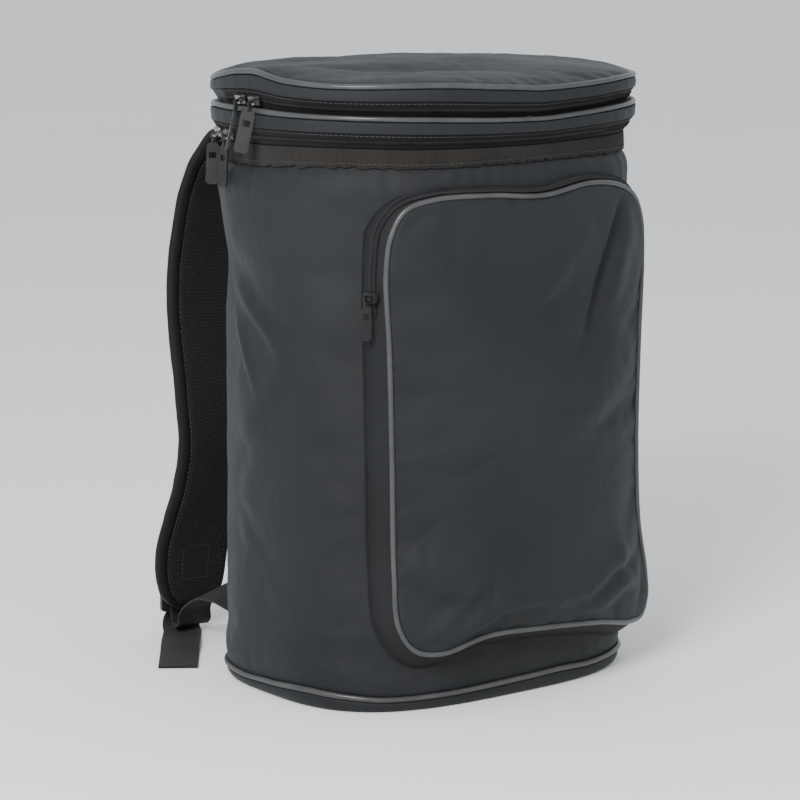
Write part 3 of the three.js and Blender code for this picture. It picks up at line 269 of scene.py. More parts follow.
# Folds in the pocket's face: paths as shares of its width and height, then as for the wall.
POCKET_FOLDS = table("path wide steep rise", [
    ([(-0.34, 0.38), (-0.05, 0.35), (0.22, 0.41)], 26, 0.9, 5.5),
    ([(0.37, 0.48), (0.3, 0.39), (0.235, 0.29), (0.18, 0.17)], 8, 0.55, -4.2),
    ([(0.42, 0.42), (0.35, 0.34), (0.28, 0.22)], 13, 0.9, 2.2),
    ([(-0.16, 0.22), (-0.04, 0.275), (0.08, 0.34)], 13, 0.6, 2.4),
    ([(-0.36, 0.3), (-0.3, 0.1), (-0.34, -0.1)], 26, 0.9, 3.0),
    ([(-0.1, -0.06), (0.12, 0.0), (0.38, 0.1)], 26, 0.7, 3.4),
    ([(0.0, 0.14), (0.1, 0.1), (0.28, 0.2)], 18, 0.8, -2.4),
    ([(-0.47, -0.25), (-0.36, -0.325), (-0.2, -0.35)], 30, 0.4, 5.2),
    ([(-0.36, -0.46), (-0.27, -0.43), (-0.17, -0.385), (-0.01, -0.38), (0.1, -0.4)], 13, 0.5, 4.4),
    ([(0.02, -0.385), (0.18, -0.39), (0.3, -0.355), (0.48, -0.32)], 11, 0.55, 3.0),
    ([(0.1, -0.43), (0.28, -0.43), (0.42, -0.4), (0.53, -0.4)], 8, 0.7, 2.2),
    ([(-0.42, -0.46), (-0.3, -0.38), (-0.25, -0.32)], 6, 0.8, 1.6),
    ([(0.5, -0.46), (0.4, -0.38), (0.34, -0.24)], 9, 0.8, 1.2),
])

# The left strap's centre line from its seam under the rim to its rounded lower end. across is a share
# of half the bag's width, back of the strap's arch behind the bag, up of the strap's drop; turn is the
# angle of its width in degrees; wide and thick are shares of the strap's width and thickness.
STRAP_ROWS = table("across back up turn wide thick", [
    (-0.4, 0.16, 1.006, 14, 1, 0.7),
    (-0.41, 0.42, 1.0, 14, 1, 0.95),
    (-0.425, 0.64, 0.965, 13, 1, 1),
    (-0.45, 0.78, 0.92, 12, 1, 1),
    (-0.485, 0.86, 0.845, 10, 1, 1),
    (-0.52, 0.87, 0.76, 9, 1, 1),
    (-0.55, 0.82, 0.665, 8, 1, 1),
    (-0.563, 0.7, 0.565, 6, 1, 1),
    (-0.563, 0.6, 0.47, 5, 1, 1),
    (-0.55, 0.57, 0.375, 4, 1, 1),
    (-0.555, 0.68, 0.28, 3, 1, 1),
    (-0.563, 0.86, 0.205, 2, 1, 1),
    (-0.575, 0.98, 0.13, 0, 1, 1),
    (-0.58, 1, 0.085, 0, 0.97, 1),
    (-0.58, 1, 0.045, 0, 0.86, 1),
    (-0.58, 1, 0.018, 0, 0.62, 0.95),
    (-0.58, 1, 0.004, 0, 0.34, 0.85),
])

# The adjuster webbing from the bag's bottom corner to the strap: over is the share of the way back to
# the strap's inner ply, up the share of the height where it leaves the bag, sway the share of its swing
# sideways, and toward and tilt the direction of its width.
WEB_ROWS = table("over up sway toward tilt", [
    (0, 0.9, 0, 0.23, 0.22),
    (0.1, 0.98, 0.4, 0.11, 0.26),
    (0.26, 1.06, 0.8, 0, 0.3),
    (0.44, 1.04, 1, 0, 0.3),
    (0.63, 0.83, 1, 0, 0.2),
    (0.79, 0.5, 0.8, 0, 0.1),
    (0.84, 0.25, 0.4, 0, 0),
    (0.91, 0.175, 0.2, 0, 0),
    (0.97, 0.225, 0, 0, 0),
])

# From the buckle down to the floor: sway and back are shares of the swing, up of the leaving height.
DROP_ROWS = table("sway back up toward", [
    (0.2, 0.2, 0.22, -0.1), (0.6, -0.4, 0.07, -0.32), (1.2, -1.6, 0, -0.48),
])

# The free tail on the floor: shares of its reach and of its hump.
TAIL_ROWS = table("along rise", [
    (0.14, 0), (0.3, 0.77), (0.42, 1), (0.6, 0.23), (0.8, 0), (1, 0),
])

# The buckle's loop above its bar: up is a share of its length, and doubled says where the outer ply has
# come in to lie on the inner one.
LOOP_ROWS = table("up doubled", [
    (0.07, False), (0.19, False), (0.38, True), (0.95, True),
])


# Tables and curves.


def ease(t):
    return t * t * (3 - 2 * t)


def signed_power(value, power):
    return np.sign(value) * np.abs(value) ** power


def through(xs, ys, at):
    """A curve through points that climbs and falls only where they do."""
    xs, ys = np.asarray(xs, float), np.asarray(ys, float)
    step = np.diff(xs)
    slope = np.diff(ys) / step
    turn = np.zeros(len(xs))
    turn[0], turn[-1] = slope[0], slope[-1]
    left, right = 2 * step[1:] + step[:-1], step[1:] + 2 * step[:-1]
    same = slope[:-1] * slope[1:] > 0
    mean = (left + right)[same] / (left[same] / slope[:-1][same] + right[same] / slope[1:][same])
    turn[1:-1][same] = mean
    at = np.clip(at, xs[0], xs[-1])
    i = np.clip(np.searchsorted(xs, at) - 1, 0, len(step) - 1)
    t = (at - xs[i]) / step[i]
    low = (1 + 2 * t) * (1 - t) ** 2 * ys[i] + t * (1 - t) ** 2 * step[i] * turn[i]
    return low + t * t * (3 - 2 * t) * ys[i + 1] + t * t * (t - 1) * step[i] * turn[i + 1]


def column(rows, key):
    return np.array([row[key] for row in rows], float)


def row_curve(rows, key, value, at):
    return through(column(rows, key), column(rows, value), at)


def round_curve(rows, value, around):
    """A column of a table whose rows go once round the bag."""
    places, values = column(rows, "around"), column(rows, value)
    places = np.concatenate([places[-2:] - 1, places, places[:2] + 1])
    values = np.concatenate([values[-2:], values, values[:2]])
    return through(places, values, np.mod(around, 1))


def ripple(around, low, high, seed):
    """Waves that close round the bag, between -1 and 1, with low to high of them to a turn."""
    random = np.random.default_rng(seed)
    total = np.zeros(np.shape(around))
    waves = 9
    for _ in range(waves):
        count = random.integers(low, high)
        total = total + np.sin(2 * np.pi * (count * around + random.random()))
    return total / (waves * 0.6)


def crumple(points, size, octaves=3):
    """Smooth noise at each point, about -1 to 1; size is the length of its waves."""
    flat = points.reshape(-1, 3) / size
    values = [noise.fractal(Vector(p), 0.9, 2.1, octaves) for p in flat]
    return np.array(values).reshape(points.shape[:-1])


def fold(x, y, path, wide, steep, rise):
    """A soft ridge along a path, fading at both ends, with one steeper side."""
    shape = np.broadcast(x, y).shape
    nearest, along, side = np.full(shape, np.inf), np.zeros(shape), np.zeros(shape)
    spans = [math.dist(a, b) for a, b in zip(path, path[1:])]
    done = 0
    for (ax, ay), (bx, by), span in zip(path, path[1:], spans):
        t = np.clip(((x - ax) * (bx - ax) + (y - ay) * (by - ay)) / span**2, 0, 1)
        away_x, away_y = x - ax - t * (bx - ax), y - ay - t * (by - ay)
        distance = np.hypot(away_x, away_y)
        closer = distance < nearest
        nearest = np.where(closer, distance, nearest)
        along = np.where(closer, (done + t * span) / sum(spans), along)
        side = np.where(closer, (bx - ax) * away_y - (by - ay) * away_x, side)
        done += span
    width = np.where(side > 0, wide, wide * steep)
    fade = np.sqrt(np.sin(np.pi * np.clip(along, 0.02, 0.98)))
    return rise * fade * np.exp(-((nearest / width) ** 2))


def folded(rows, x, y, wide, tall, strength=1):
    """The relief of a table of folds, whose paths are shares of two lengths."""
    relief = 0
    for row in rows:
        path = [(a * wide, b * tall) for a, b in row["path"]]
        relief = relief + fold(x, y, path, row["wide"], row["steep"], row["rise"] * strength)
    return relief


def unit(vectors):
    return vectors / np.linalg.norm(vectors, axis=-1, keepdims=True)


def lengths_along(line):
    """The length of a line up to each of its points."""
    return np.concatenate([[0], np.cumsum(np.linalg.norm(np.diff(line, axis=0), axis=1))])


def read_at(at, lengths, values):
    """Places or directions read between the ones that are known at lengths along a line."""
    return np.stack([np.interp(at, lengths, values[:, k]) for k in range(values.shape[1])], -1)


def smooth_at(at, lengths, values):
    """The same, on a smooth curve."""
    return np.stack([through(lengths, values[:, k], at) for k in range(values.shape[1])], -1)


def stepped(loop, count):
    """Points at equal steps along a closed line."""
    line = np.concatenate([loop, loop[:1]])
    lengths = lengths_along(line)
    return read_at(np.linspace(0, lengths[-1], count + 1)[:count], lengths, line)


def turns(count):
    """Angles at equal steps round a circle."""
    return np.arange(count) * 2 * np.pi / count


# The drum's surface.


def section(height):
    level = np.clip(height / WALL_TOP, 0, 1)
    levels = column(SECTIONS, "level")
    half_width = np.interp(level, levels, column(SECTIONS, "width")) * BAG_WIDTH / 2
    half_depth = np.interp(level, levels, column(SECTIONS, "depth")) * BAG_DEPTH / 2
    return half_width, half_depth, np.interp(level, levels, column(SECTIONS, "squareness"))


def section_point(height, angle):
    half_width, half_depth, squareness = section(height)
    x = -half_width * signed_power(np.sin(angle), 2 / squareness)
    y = half_depth * signed_power(np.cos(angle), 2 / squareness)
    return x, y


GIRTH_ANGLES = np.linspace(0, 2 * np.pi, 40001)
GIRTH_LINE = np.stack(section_point(np.full_like(GIRTH_ANGLES, WALL_TOP / 2), GIRTH_ANGLES), 1)
GIRTH_LENGTHS = lengths_along(GIRTH_LINE)
GIRTH = GIRTH_LENGTHS[-1]


def rim_lift(around, height):
    """How far the rims ride up: nothing low on the wall."""
    levels = [WALL_TOP * 0.88, BINDING_FOOT, EXPANDER_PIPING_Z, LID_PIPING_Z]
    lifts = [0] + [round_curve(RIM_ROWS, key, around) * RIM_WAVE for key in ("binding", "expander", "lid")]
    total = 0
    for k in range(3):
        share = np.clip((height - levels[k]) / (levels[k + 1] - levels[k]), 0, 1)
        total = total + (lifts[k + 1] - lifts[k]) * share
    return total


def base_lift(around, height):
    """How far the base seam rides up, fading to the floor and up the wall."""
    fade = np.where(height < BASE_HEIGHT, height / BASE_HEIGHT, 1 - ease(np.clip((height - 13) / 60, 0, 1)))
    return round_curve(BASE_ROWS, "rise", around) * fade


def drum(around, height, out):
    """Points off the drum's surface, and the direction out there."""
    around, height, out = np.broadcast_arrays(*(np.asarray(v, float) for v in (around, height, out)))
    angle = np.interp(np.mod(around, 1) * GIRTH, GIRTH_LENGTHS, GIRTH_ANGLES)
    x, y = section_point(height, angle)
    half_width, half_depth, squareness = section(height)
    normal_x = signed_power(x / half_width, squareness - 1) / half_width
    normal_y = signed_power(y / half_depth, squareness - 1) / half_depth
    away = unit(np.stack([normal_x, normal_y, np.zeros_like(x)], -1))
    z = height + rim_lift(around, height) + base_lift(around, height)
    return np.stack([x, y, z], -1) + away * out[..., None], away


def wall_relief(around, height):
    """The padded wall's own shape: its bulge, dents, creases and the puckers at its seams."""
    level = (height - WALL_FOOT) / WALL_HEIGHT
    relief = row_curve(WALL_ROWS, "level", "out", level) * WALL_BULGE
    for dent in DENTS:
        turn = around - dent["around"]
        across = (turn - np.round(turn)) / dent["wide"]
        up = (level - dent["level"]) / dent["tall"]
        relief = relief - DENT_DEPTH * dent["deep"] * np.exp(-(across**2 + up**2))
    for row in WALL_FOLDS:
        x = around - np.round(around - row["path"][0][0])
        path = [(place * GIRTH, up * WALL_HEIGHT) for place, up in row["path"]]
        rise = row["rise"] * WALL_FOLD_STRENGTH
        relief = relief + fold(x * GIRTH, level * WALL_HEIGHT, path, row["wide"], row["steep"], rise)
    near_top = np.exp(-np.maximum(BINDING_FOOT - height, 0) / 11)
    near_foot = np.exp(-np.maximum(height - WALL_FOOT, 0) / 9)
    relief = relief + near_top * 0.8 * ripple(around, 30, 75, 4) - near_top * 0.5
    return relief + near_foot * 0.45 * ripple(around, 28, 70, 5)


# Shapes: points with quads and triangles, and a place on the cloth for each corner of a face.


class Shape:
    def __init__(self, points, quads, quad_uv, triangles=None, triangle_uv=None):
        self.points = np.asarray(points, float).reshape(-1, 3)
        self.quads = np.asarray(quads, int).reshape(-1, 4)
        self.quad_uv = np.asarray(quad_uv, float).reshape(-1, 4, 2)
        self.triangles = np.asarray([] if triangles is None else triangles, int).reshape(-1, 3)
        self.triangle_uv = np.asarray([] if triangle_uv is None else triangle_uv, float).reshape(-1, 3, 2)

    def volume(self):
        split = [self.quads[:, [0, 1, 2]], self.quads[:, [0, 2, 3]], self.triangles]
        a, b, c = (self.points[np.concatenate(split)[:, k]] for k in range(3))
        return float((a * np.cross(b, c)).sum()) / 6

    def facing_out(self):
        if self.volume() < 0:
            self.quads, self.quad_uv = self.quads[:, ::-1], self.quad_uv[:, ::-1]
            self.triangles, self.triangle_uv = self.triangles[:, ::-1], self.triangle_uv[:, ::-1]
        return self

    def mirrored(self):
        points = self.points * [-1, 1, 1]
        flipped = Shape(points, self.quads, self.quad_uv, self.triangles, self.triangle_uv)
        return flipped.facing_out()


def together(shapes):
    """Several shapes as one."""
    starts = np.cumsum([0] + [len(shape.points) for shape in shapes])
    return Shape(
        np.concatenate([shape.points for shape in shapes]),
        np.concatenate([shape.quads + start for shape, start in zip(shapes, starts)]),
        np.concatenate([shape.quad_uv for shape in shapes]),
        np.concatenate([shape.triangles + start for shape, start in zip(shapes, starts)]),
        np.concatenate([shape.triangle_uv for shape in shapes]),
    )


def grid(points, loop_rows=False, loop_columns=False, caps=False):
    """A surface through rows of points. Loops join the last row or column to the first, and caps close
    the two ends with fans."""
    rows, columns = points.shape[:2]
    index = np.arange(rows * columns).reshape(rows, columns)
    wrapped = points
    if loop_rows:
        index, wrapped = np.concatenate([index, index[:1]]), np.concatenate([wrapped, wrapped[:1]])
    if loop_columns:
        index = np.concatenate([index, index[:, :1]], 1)
        wrapped = np.concatenate([wrapped, wrapped[:, :1]], 1)
    steps_down = np.linalg.norm(np.diff(wrapped, axis=0), axis=2).mean(1)
    steps_across = np.linalg.norm(np.diff(wrapped, axis=1), axis=2).mean(0)
    down = np.concatenate([[0], np.cumsum(steps_down)]) * MM
    across = np.concatenate([[0], np.cumsum(steps_across)]) * MM
    uv = np.stack(np.meshgrid(down, across, indexing="ij"), -1)
    corners = (slice(None, -1), slice(None, -1)), (slice(1, None), slice(None, -1))
    corners += (slice(1, None), slice(1, None)), (slice(None, -1), slice(1, None))
    quads = np.stack([index[corner] for corner in corners], -1).reshape(-1, 4)
    quad_uv = np.stack([uv[corner] for corner in corners], -2).reshape(-1, 4, 2)
    everything = points.reshape(-1, 3)
    triangles, triangle_uv = [], []
    if caps:
        for row, reverse in ((0, True), (rows - 1, False)):
            hub = len(everything)
            everything = np.concatenate([everything, points[row].mean(0)[None]])
            ring = index[row]
            fan = np.stack([np.full(len(ring) - 1, hub), ring[:-1], ring[1:]], 1)
            flat = np.stack([across[:-1] * 0, across[:-1], across[1:]], 1)
            fan_uv = np.stack([np.full_like(flat, down[min(row, len(down) - 1)]), flat], -1)
            triangles.append(fan[:, ::-1] if reverse else fan)
            triangle_uv.append(fan_uv[:, ::-1] if reverse else fan_uv)
        triangles, triangle_uv = np.concatenate(triangles), np.concatenate(triangle_uv)
    return Shape(everything, quads, quad_uv, triangles, triangle_uv).facing_out()


def scattered(template, places, along, across):
    """Copies of a small shape at many places, its X laid along and its Y across."""
    across = unit(across - along * (across * along).sum(-1, keepdims=True))
    out = np.cross(along, across)
    count, size = len(places), len(template.points)
    basis = np.stack([along, across, out], 1)
    points = np.einsum("pk,nkc->npc", template.points, basis) + places[:, None]
    shift = (np.arange(count) * size)[:, None, None]
    return Shape(
        points,
        template.quads + shift,
        np.tile(template.quad_uv, (count, 1, 1, 1)),
        template.triangles + shift,
        np.tile(template.triangle_uv, (count, 1, 1, 1)),
    )


def capsule(length, radius, flatness=1.0):
    """A short rod along X with narrowed ends."""
    narrow, taper = 0.35, radius / length * 0.7
    rings = []
    for at, share in ((-0.5, narrow), (-0.5 + taper, 1), (0.5 - taper, 1), (0.5, narrow)):
        across = radius * share * np.cos(turns(ROD_SIDES))
        up = radius * share * flatness * np.sin(turns(ROD_SIDES))
        rings.append(np.stack([np.full(ROD_SIDES, at * length), across, up], 1))
    return grid(np.stack(rings), loop_columns=True, caps=True)


def frames_at(at, reach, line, across):
    """Points on a line, its direction there, read over a reach to both sides, and the way across."""
    lengths = lengths_along(line)
    ahead, behind = read_at(at + reach, lengths, line), read_at(at - reach, lengths, line)
    return read_at(at, lengths, line), unit(ahead - behind), read_at(at, lengths, across)


def stitches(line, across):
    """A row of stitches along a line that lies on cloth; across lies in the cloth."""
    at = np.arange(STITCH_PITCH, lengths_along(line)[-1], STITCH_PITCH)
    return scattered(capsule(STITCH_LENGTH, STITCH_RADIUS), *frames_at(at, 0.4, line, across))


def coil(line, across, wide=COIL_WIDTH):
    """A closed zip coil along a line: turns of wire from its two sides, in turn."""
    at = np.arange(COIL_PITCH, lengths_along(line)[-1], COIL_PITCH / 2)
    points, along, side = frames_at(at, 0.3, line, across)
    side = unit(side)
    offset = np.where(np.arange(len(at)) % 2, 1, -1)[:, None] * side * wide * 0.11
    wire = capsule(wide * 0.78, COIL_WIRE * wide / COIL_WIDTH, 0.9)
    return scattered(wire, points + offset, side, -along)


# Making objects.


def mesh_of(name, shape):
    mesh = bpy.data.meshes.new(name)
    quads, triangles = len(shape.quads), len(shape.triangles)
    loops = np.concatenate([shape.quads.ravel(), shape.triangles.ravel()]).astype(np.int32)
    starts = np.concatenate([np.arange(quads) * 4, quads * 4 + np.arange(triangles) * 3]).astype(np.int32)
    mesh.vertices.add(len(shape.points))
    mesh.vertices.foreach_set("co", (shape.points * MM).astype(np.float32).ravel())
    mesh.loops.add(len(loops))
    mesh.loops.foreach_set("vertex_index", loops)
    mesh.polygons.add(quads + triangles)
    mesh.polygons.foreach_set("loop_start", starts)
    mesh.update(calc_edges=True)
    layer = mesh.uv_layers.new(name="UVMap")
    uv = np.concatenate([shape.quad_uv.reshape(-1, 2), shape.triangle_uv.reshape(-1, 2)])
    layer.data.foreach_set("uv", uv.astype(np.float32).ravel())
    mesh.polygons.foreach_set("use_smooth", np.ones(quads + triangles, bool))
    mesh.validate()
    return mesh


def place_piece(name, mesh, material, slot, stands_for=(), body=BODY):
    mesh.materials.clear()
    mesh.materials.append(material)
    piece = bpy.data.objects.new(name, mesh)
    bpy.context.scene.collection.objects.link(piece)
    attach(piece, body)
    if stands_for:
        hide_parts(*stands_for)
    return piece


def make(name, shape, material, slot, stands_for=()):
    mesh = mesh_of(name, shape)
    mesh.set_sharp_from_angle(angle=math.radians(SHARP_ANGLE))
    return place_piece(name, mesh, material, slot, stands_for)


# Cloth simulation.


def between(values, places_known, at):
    """A grid's rows read between the rows that are known."""
    i = np.clip(np.searchsorted(places_known, at, side="right") - 1, 0, len(places_known) - 2)
    share = (at - places_known[i]) / (places_known[i + 1] - places_known[i])
    return values[i] + (values[i + 1] - values[i]) * share[:, None, None]


def blurred(values, passes):
    """Evens out a grid whose columns close."""
    for _ in range(passes):
        values = (values + np.roll(values, 1, 1) + np.roll(values, -1, 1)) / 3
        inner = (values[:-2] + values[1:-1] + values[2:]) / 3
        values = np.concatenate([values[:1], inner, values[-1:]])
    return values


def settled(points, held_rows, row_step, column_step, play, sewn=None):
    """How far each point of a padded cloth moves when it is blown up and left to settle. The points are
    a grid whose columns close. The cloth is held at its seams and cut a little longer than its frame,
    so that it swells and puckers between them."""
    rows = np.unique(np.append(np.arange(0, len(points), row_step), len(points) - 1))
    columns = np.arange(0, points.shape[1], column_step)
    coarse = points[np.ix_(rows, columns)]
    held = np.zeros(coarse.shape[:2], bool)
    held[list(held_rows)] = True
    if sewn:
        held |= sewn(coarse)
    shape = grid(coarse, loop_columns=True)
    middle = np.array([0, 0, WALL_TOP / 2])
    shape.points -= middle
    shape.facing_out().points += middle
    trial = bpy.data.objects.new("trial", mesh_of("trial", shape))
    bpy.context.scene.collection.objects.link(trial)
    trial.vertex_groups.new(name="seams").add(np.flatnonzero(held.ravel()).tolist(), 1, "REPLACE")
    cloth = trial.modifiers.new("cloth", "CLOTH")
    cloth.settings.vertex_group_mass = "seams"
    cloth.settings.use_pressure = True
    cloth.settings.uniform_pressure_force = CLOTH_PRESSURE
    cloth.settings.shrink_min = -CLOTH_EASE
    cloth.settings.effector_weights.gravity = 0
    cloth.collision_settings.use_collision = False
    cloth.point_cache.frame_end = CLOTH_FRAMES
    for step in range(1, CLOTH_FRAMES + 1):
        bpy.context.scene.frame_set(step)
    blown = trial.evaluated_get(bpy.context.evaluated_depsgraph_get())
    after = np.array([vertex.co[:] for vertex in blown.data.vertices]).reshape(coarse.shape) / MM
    bpy.data.objects.remove(trial)
    bpy.context.scene.frame_set(1)
    moved = after - coarse
    far = np.linalg.norm(moved, axis=-1, keepdims=True) + 1e-9
    moved = moved * play * np.tanh(far / play) / far
    tall = between(moved, rows, np.arange(len(points)))
    closed = np.concatenate([tall, tall[:, :1]], 1).transpose(1, 0, 2)
    wide = between(closed, np.append(columns, points.shape[1]), np.arange(points.shape[1]))
    return blurred(wide.transpose(1, 0, 2), column_step)


# Materials.


def add(tree, kind, inputs=(), **settings):
    node = tree.nodes.new(kind)
    for key, value in settings.items():
        setattr(node, key, value)
    for key, value in dict(inputs).items():
        if isinstance(value, bpy.types.NodeSocket):
            tree.links.new(value, node.inputs[key])
        else:
            node.inputs[key].default_value = value
    return node


def sum_of(tree, a, b):
    return add(tree, "ShaderNodeMath", {0: a, 1: b}, operation="ADD").outputs[0]


def times(tree, a, b):
    return add(tree, "ShaderNodeMath", {0: a, 1: b}, operation="MULTIPLY").outputs[0]


def wave_of(tree, coordinate, pitch):
    turned = times(tree, coordinate, 2 * math.pi / pitch)
    return add(tree, "ShaderNodeMath", {0: turned}, operation="SINE").outputs[0]


def cloth_axes(tree):
    """The two distances along the cloth, in metres."""
    uv = add(tree, "ShaderNodeTexCoord").outputs["UV"]
    split = add(tree, "ShaderNodeSeparateXYZ", {0: uv})
    return split.outputs[0], split.outputs[1]


def speckle(tree, scale, detail):
    """Noise fixed to the object, between about 0.3 and 0.7."""
    place = add(tree, "ShaderNodeTexCoord").outputs["Object"]
    return add(tree, "ShaderNodeTexNoise", {"Vector": place, "Scale": scale, "Detail": detail}).outputs[0]


def span(tree, value, low, high, to_low, to_high):
    inputs = {"Value": value, "From Min": low, "From Max": high, "To Min": to_low, "To Max": to_high}
    return add(tree, "ShaderNodeMapRange", inputs).outputs[0]


def blank(name, rough, **sockets):
    """A material with its shader, and the constants that its sockets are set to."""
    made = bpy.data.materials.new(name)
    made.use_nodes = True
    tree = made.node_tree
    shader = tree.nodes["Principled BSDF"]
    shader.inputs["Roughness"].default_value = rough
    for key, value in sockets.items():
        shader.inputs[key.replace("_", " ")].default_value = value
    return made, tree, shader


def tint(tree, shader, factor, dark, light):
    """Colours the surface between two colours by a factor from 0 to 1."""
    mixed = add(tree, "ShaderNodeMix", {0: factor, 6: (*dark, 1), 7: (*light, 1)}, data_type="RGBA")
    tree.links.new(mixed.outputs[2], shader.inputs["Base Color"])


def bumped(tree, shader, layers):
    """Stacks bumps: pairs of a height and how many metres one unit of it stands for."""
    normal = None
    for height, depth in layers:
        inputs = {"Height": height, "Distance": depth, "Strength": 1.0}
        if normal is not None:
            inputs["Normal"] = normal
        normal = add(tree, "ShaderNodeBump", inputs).outputs[0]
    tree.links.new(normal, shader.inputs["Normal"])


def woven(name, dark, light, pitch, depth, rough, **sockets):
    """Plain woven cloth with its threads, slubs, soft creasing and slight fading."""
    made, tree, shader = blank(name, rough, **sockets)
    u, v = cloth_axes(tree)
    threads = times(tree, wave_of(tree, u, pitch), wave_of(tree, v, pitch))
    slub = speckle(tree, 900, 2)
    cloudy = speckle(tree, 9, 5)
    shade = sum_of(tree, times(tree, threads, 0.12), span(tree, cloudy, 0.3, 0.7, 0.2, 0.8))
    tint(tree, shader, sum_of(tree, shade, span(tree, slub, 0.3, 0.7, -0.1, 0.1)), dark, light)
    tree.links.new(span(tree, cloudy, 0.3, 0.7, rough - 0.06, rough + 0.06), shader.inputs["Roughness"])
    creased = speckle(tree, 26, 6)
    bumped(tree, shader, [(creased, 0.0006), (threads, depth), (slub, depth)])
    return made


def ribbed(name, dark, light, pitch, depth, rough, crossing, **sockets):
    """Tape with fine ribs across its length, as in webbing, binding and zip tape."""
    made, tree, shader = blank(name, rough, **sockets)
    u, v = cloth_axes(tree)
    ribs = wave_of(tree, u, pitch)
    twill = wave_of(tree, sum_of(tree, u, v), pitch * 2.1)
    height = sum_of(tree, ribs, times(tree, twill, crossing))
    cloudy = speckle(tree, 30, 6)
    fuzz = speckle(tree, 1400, 2)
    shade = sum_of(tree, times(tree, height, 0.14), span(tree, cloudy, 0.3, 0.7, 0.15, 0.85))
    tint(tree, shader, shade, dark, light)
    tree.links.new(span(tree, cloudy, 0.3, 0.7, rough - 0.05, rough + 0.08), shader.inputs["Roughness"])
    bumped(tree, shader, [(cloudy, 0.0004), (height, depth), (fuzz, depth * 0.8)])
    return made


def plain(name, dark, light, rough, grain, grain_size, **sockets):
    """Vinyl, plastic, paint or metal with a fine grain and slight patches."""
    made, tree, shader = blank(name, rough, **sockets)
    patches = speckle(tree, 60, 5)
    tint(tree, shader, span(tree, patches, 0.3, 0.7, 0, 1), dark, light)
    tree.links.new(span(tree, patches, 0.3, 0.7, rough * 0.85, rough * 1.2), shader.inputs["Roughness"])
    bumped(tree, shader, [(speckle(tree, grain_size, 3), grain)])
    return made


SHELL = woven("shell_cloth", (0.0118, 0.0125, 0.0137), (0.0212, 0.0223, 0.0239), 0.0007, 0.00004, 0.5,
              Sheen_Weight=0.03, Sheen_Roughness=0.45, Sheen_Tint=(0.7, 0.9, 0.88, 1),
              Specular_IOR_Level=0.09)
# Painted shade: the gusset's cloth is the shell cloth made darker, standing in for the shade that falls on
# the pocket's side.
GUSSET_PAINTED_SHADE_CLOTH = woven("gusset_painted_shade_cloth", (0.0102, 0.0108, 0.0116), (0.018, 0.019, 0.0203), 0.0007, 0.00004, 0.55,
                     Specular_IOR_Level=0.08)
STRAP_CLOTH = woven("strap_cloth",(0.006, 0.0055, 0.006), (0.011, 0.01, 0.011), 0.0007, 0.00005, 0.6,
                    Sheen_Weight=0.04, Sheen_Roughness=0.4, Specular_IOR_Level=0.12)
AIR_MESH = woven("air_mesh", (0.005, 0.0045, 0.005), (0.012, 0.011, 0.0125), 0.0008, 0.00008, 0.75,
                 Sheen_Weight=0.08, Sheen_Roughness=0.5, Specular_IOR_Level=0.15)
PIPING = plain("piping_vinyl", (0.03, 0.0308, 0.032), (0.046, 0.047, 0.0485), 0.33, 0.0001, 500,
               Specular_IOR_Level=0.4)
BINDING = ribbed("binding_tape", (0.011, 0.0098, 0.0087), (0.027, 0.024, 0.021), 0.0009, 0.00016, 0.8, 0.3,
                 Sheen_Weight=0.03, Sheen_Roughness=0.5, Specular_IOR_Level=0.1)
ZIP_TAPE = ribbed("zip_tape", (0.005, 0.0046, 0.005), (0.01, 0.009, 0.01), 0.0008, 0.0001, 0.7, 0.6,
                  Sheen_Weight=0.02, Sheen_Roughness=0.5, Specular_IOR_Level=0.1)
COIL = plain("coil_nylon", (0.008, 0.0078, 0.0083), (0.014, 0.0137, 0.0144), 0.4, 0.00003, 900,
             Specular_IOR_Level=0.15)
POCKET_TAPE = ribbed("pocket_tape", (0.0122, 0.0129, 0.014), (0.0215, 0.0226, 0.0242), 0.0008, 0.00008, 0.6,
                     0.5, Specular_IOR_Level=0.1)
THREAD = plain("thread", (0.03, 0.028, 0.029), (0.052, 0.049, 0.05), 0.55, 0.00005, 1500,
               Specular_IOR_Level=0.25)
WEBBING = ribbed("webbing", (0.014, 0.013, 0.0125), (0.026, 0.0245, 0.023), 0.0013, 0.0002, 0.55, 0.5,
                 Sheen_Weight=0.03, Sheen_Roughness=0.4, Specular_IOR_Level=0.15)
NICKEL = plain("slider_nickel", (0.15, 0.147, 0.15), (0.24, 0.236, 0.24), 0.3, 0.00004, 400, Metallic=1.0)
GUNMETAL = plain("pull_paint", (0.009, 0.0092, 0.0095), (0.017, 0.0173, 0.0177), 0.4, 0.00004, 600,
                 Metallic=0.1, Specular_IOR_Level=0.25)
PLASTIC = plain("buckle_plastic", (0.012, 0.0115, 0.0125), (0.02, 0.0195, 0.021), 0.38, 0.00005, 1200)


# Rings round the drum.


def places(from_share=0.0, to_share=1.0):
    """Places round the bag, all of them or from one share of the girth to another."""
    if to_share - from_share >= 1:
        return np.arange(FINE) / FINE
    return np.linspace(from_share, to_share, int(FINE * (to_share - from_share)) + 2)


def ring(around, heights, outs):
    """A closed profile carried round the drum: heights and outs are rows of numbers, or rows of them
    for every place."""
    whole = around[-1] - around[0] > 1 - 1.5 / FINE
    points, _ = drum(around[:, None], heights, outs)
    return grid(points, loop_rows=whole, loop_columns=True, caps=not whole)


def rounded(corners, radius, steps=3):
    """A closed profile with its corners rounded, from (height, out) corners."""
    corners = np.asarray(corners, float)
    line = []
    for i, corner in enumerate(corners):
        before, after = corners[i - 1] - corner, corners[(i + 1) % len(corners)] - corner
        reach = min(radius, np.linalg.norm(before) * 0.45, np.linalg.norm(after) * 0.45)
        start, end = corner + unit(before) * reach, corner + unit(after) * reach
        for t in np.linspace(0, 1, steps + 1):
            line.append((1 - t) ** 2 * start + 2 * t * (1 - t) * corner + t * t * end)
    return np.array(line)


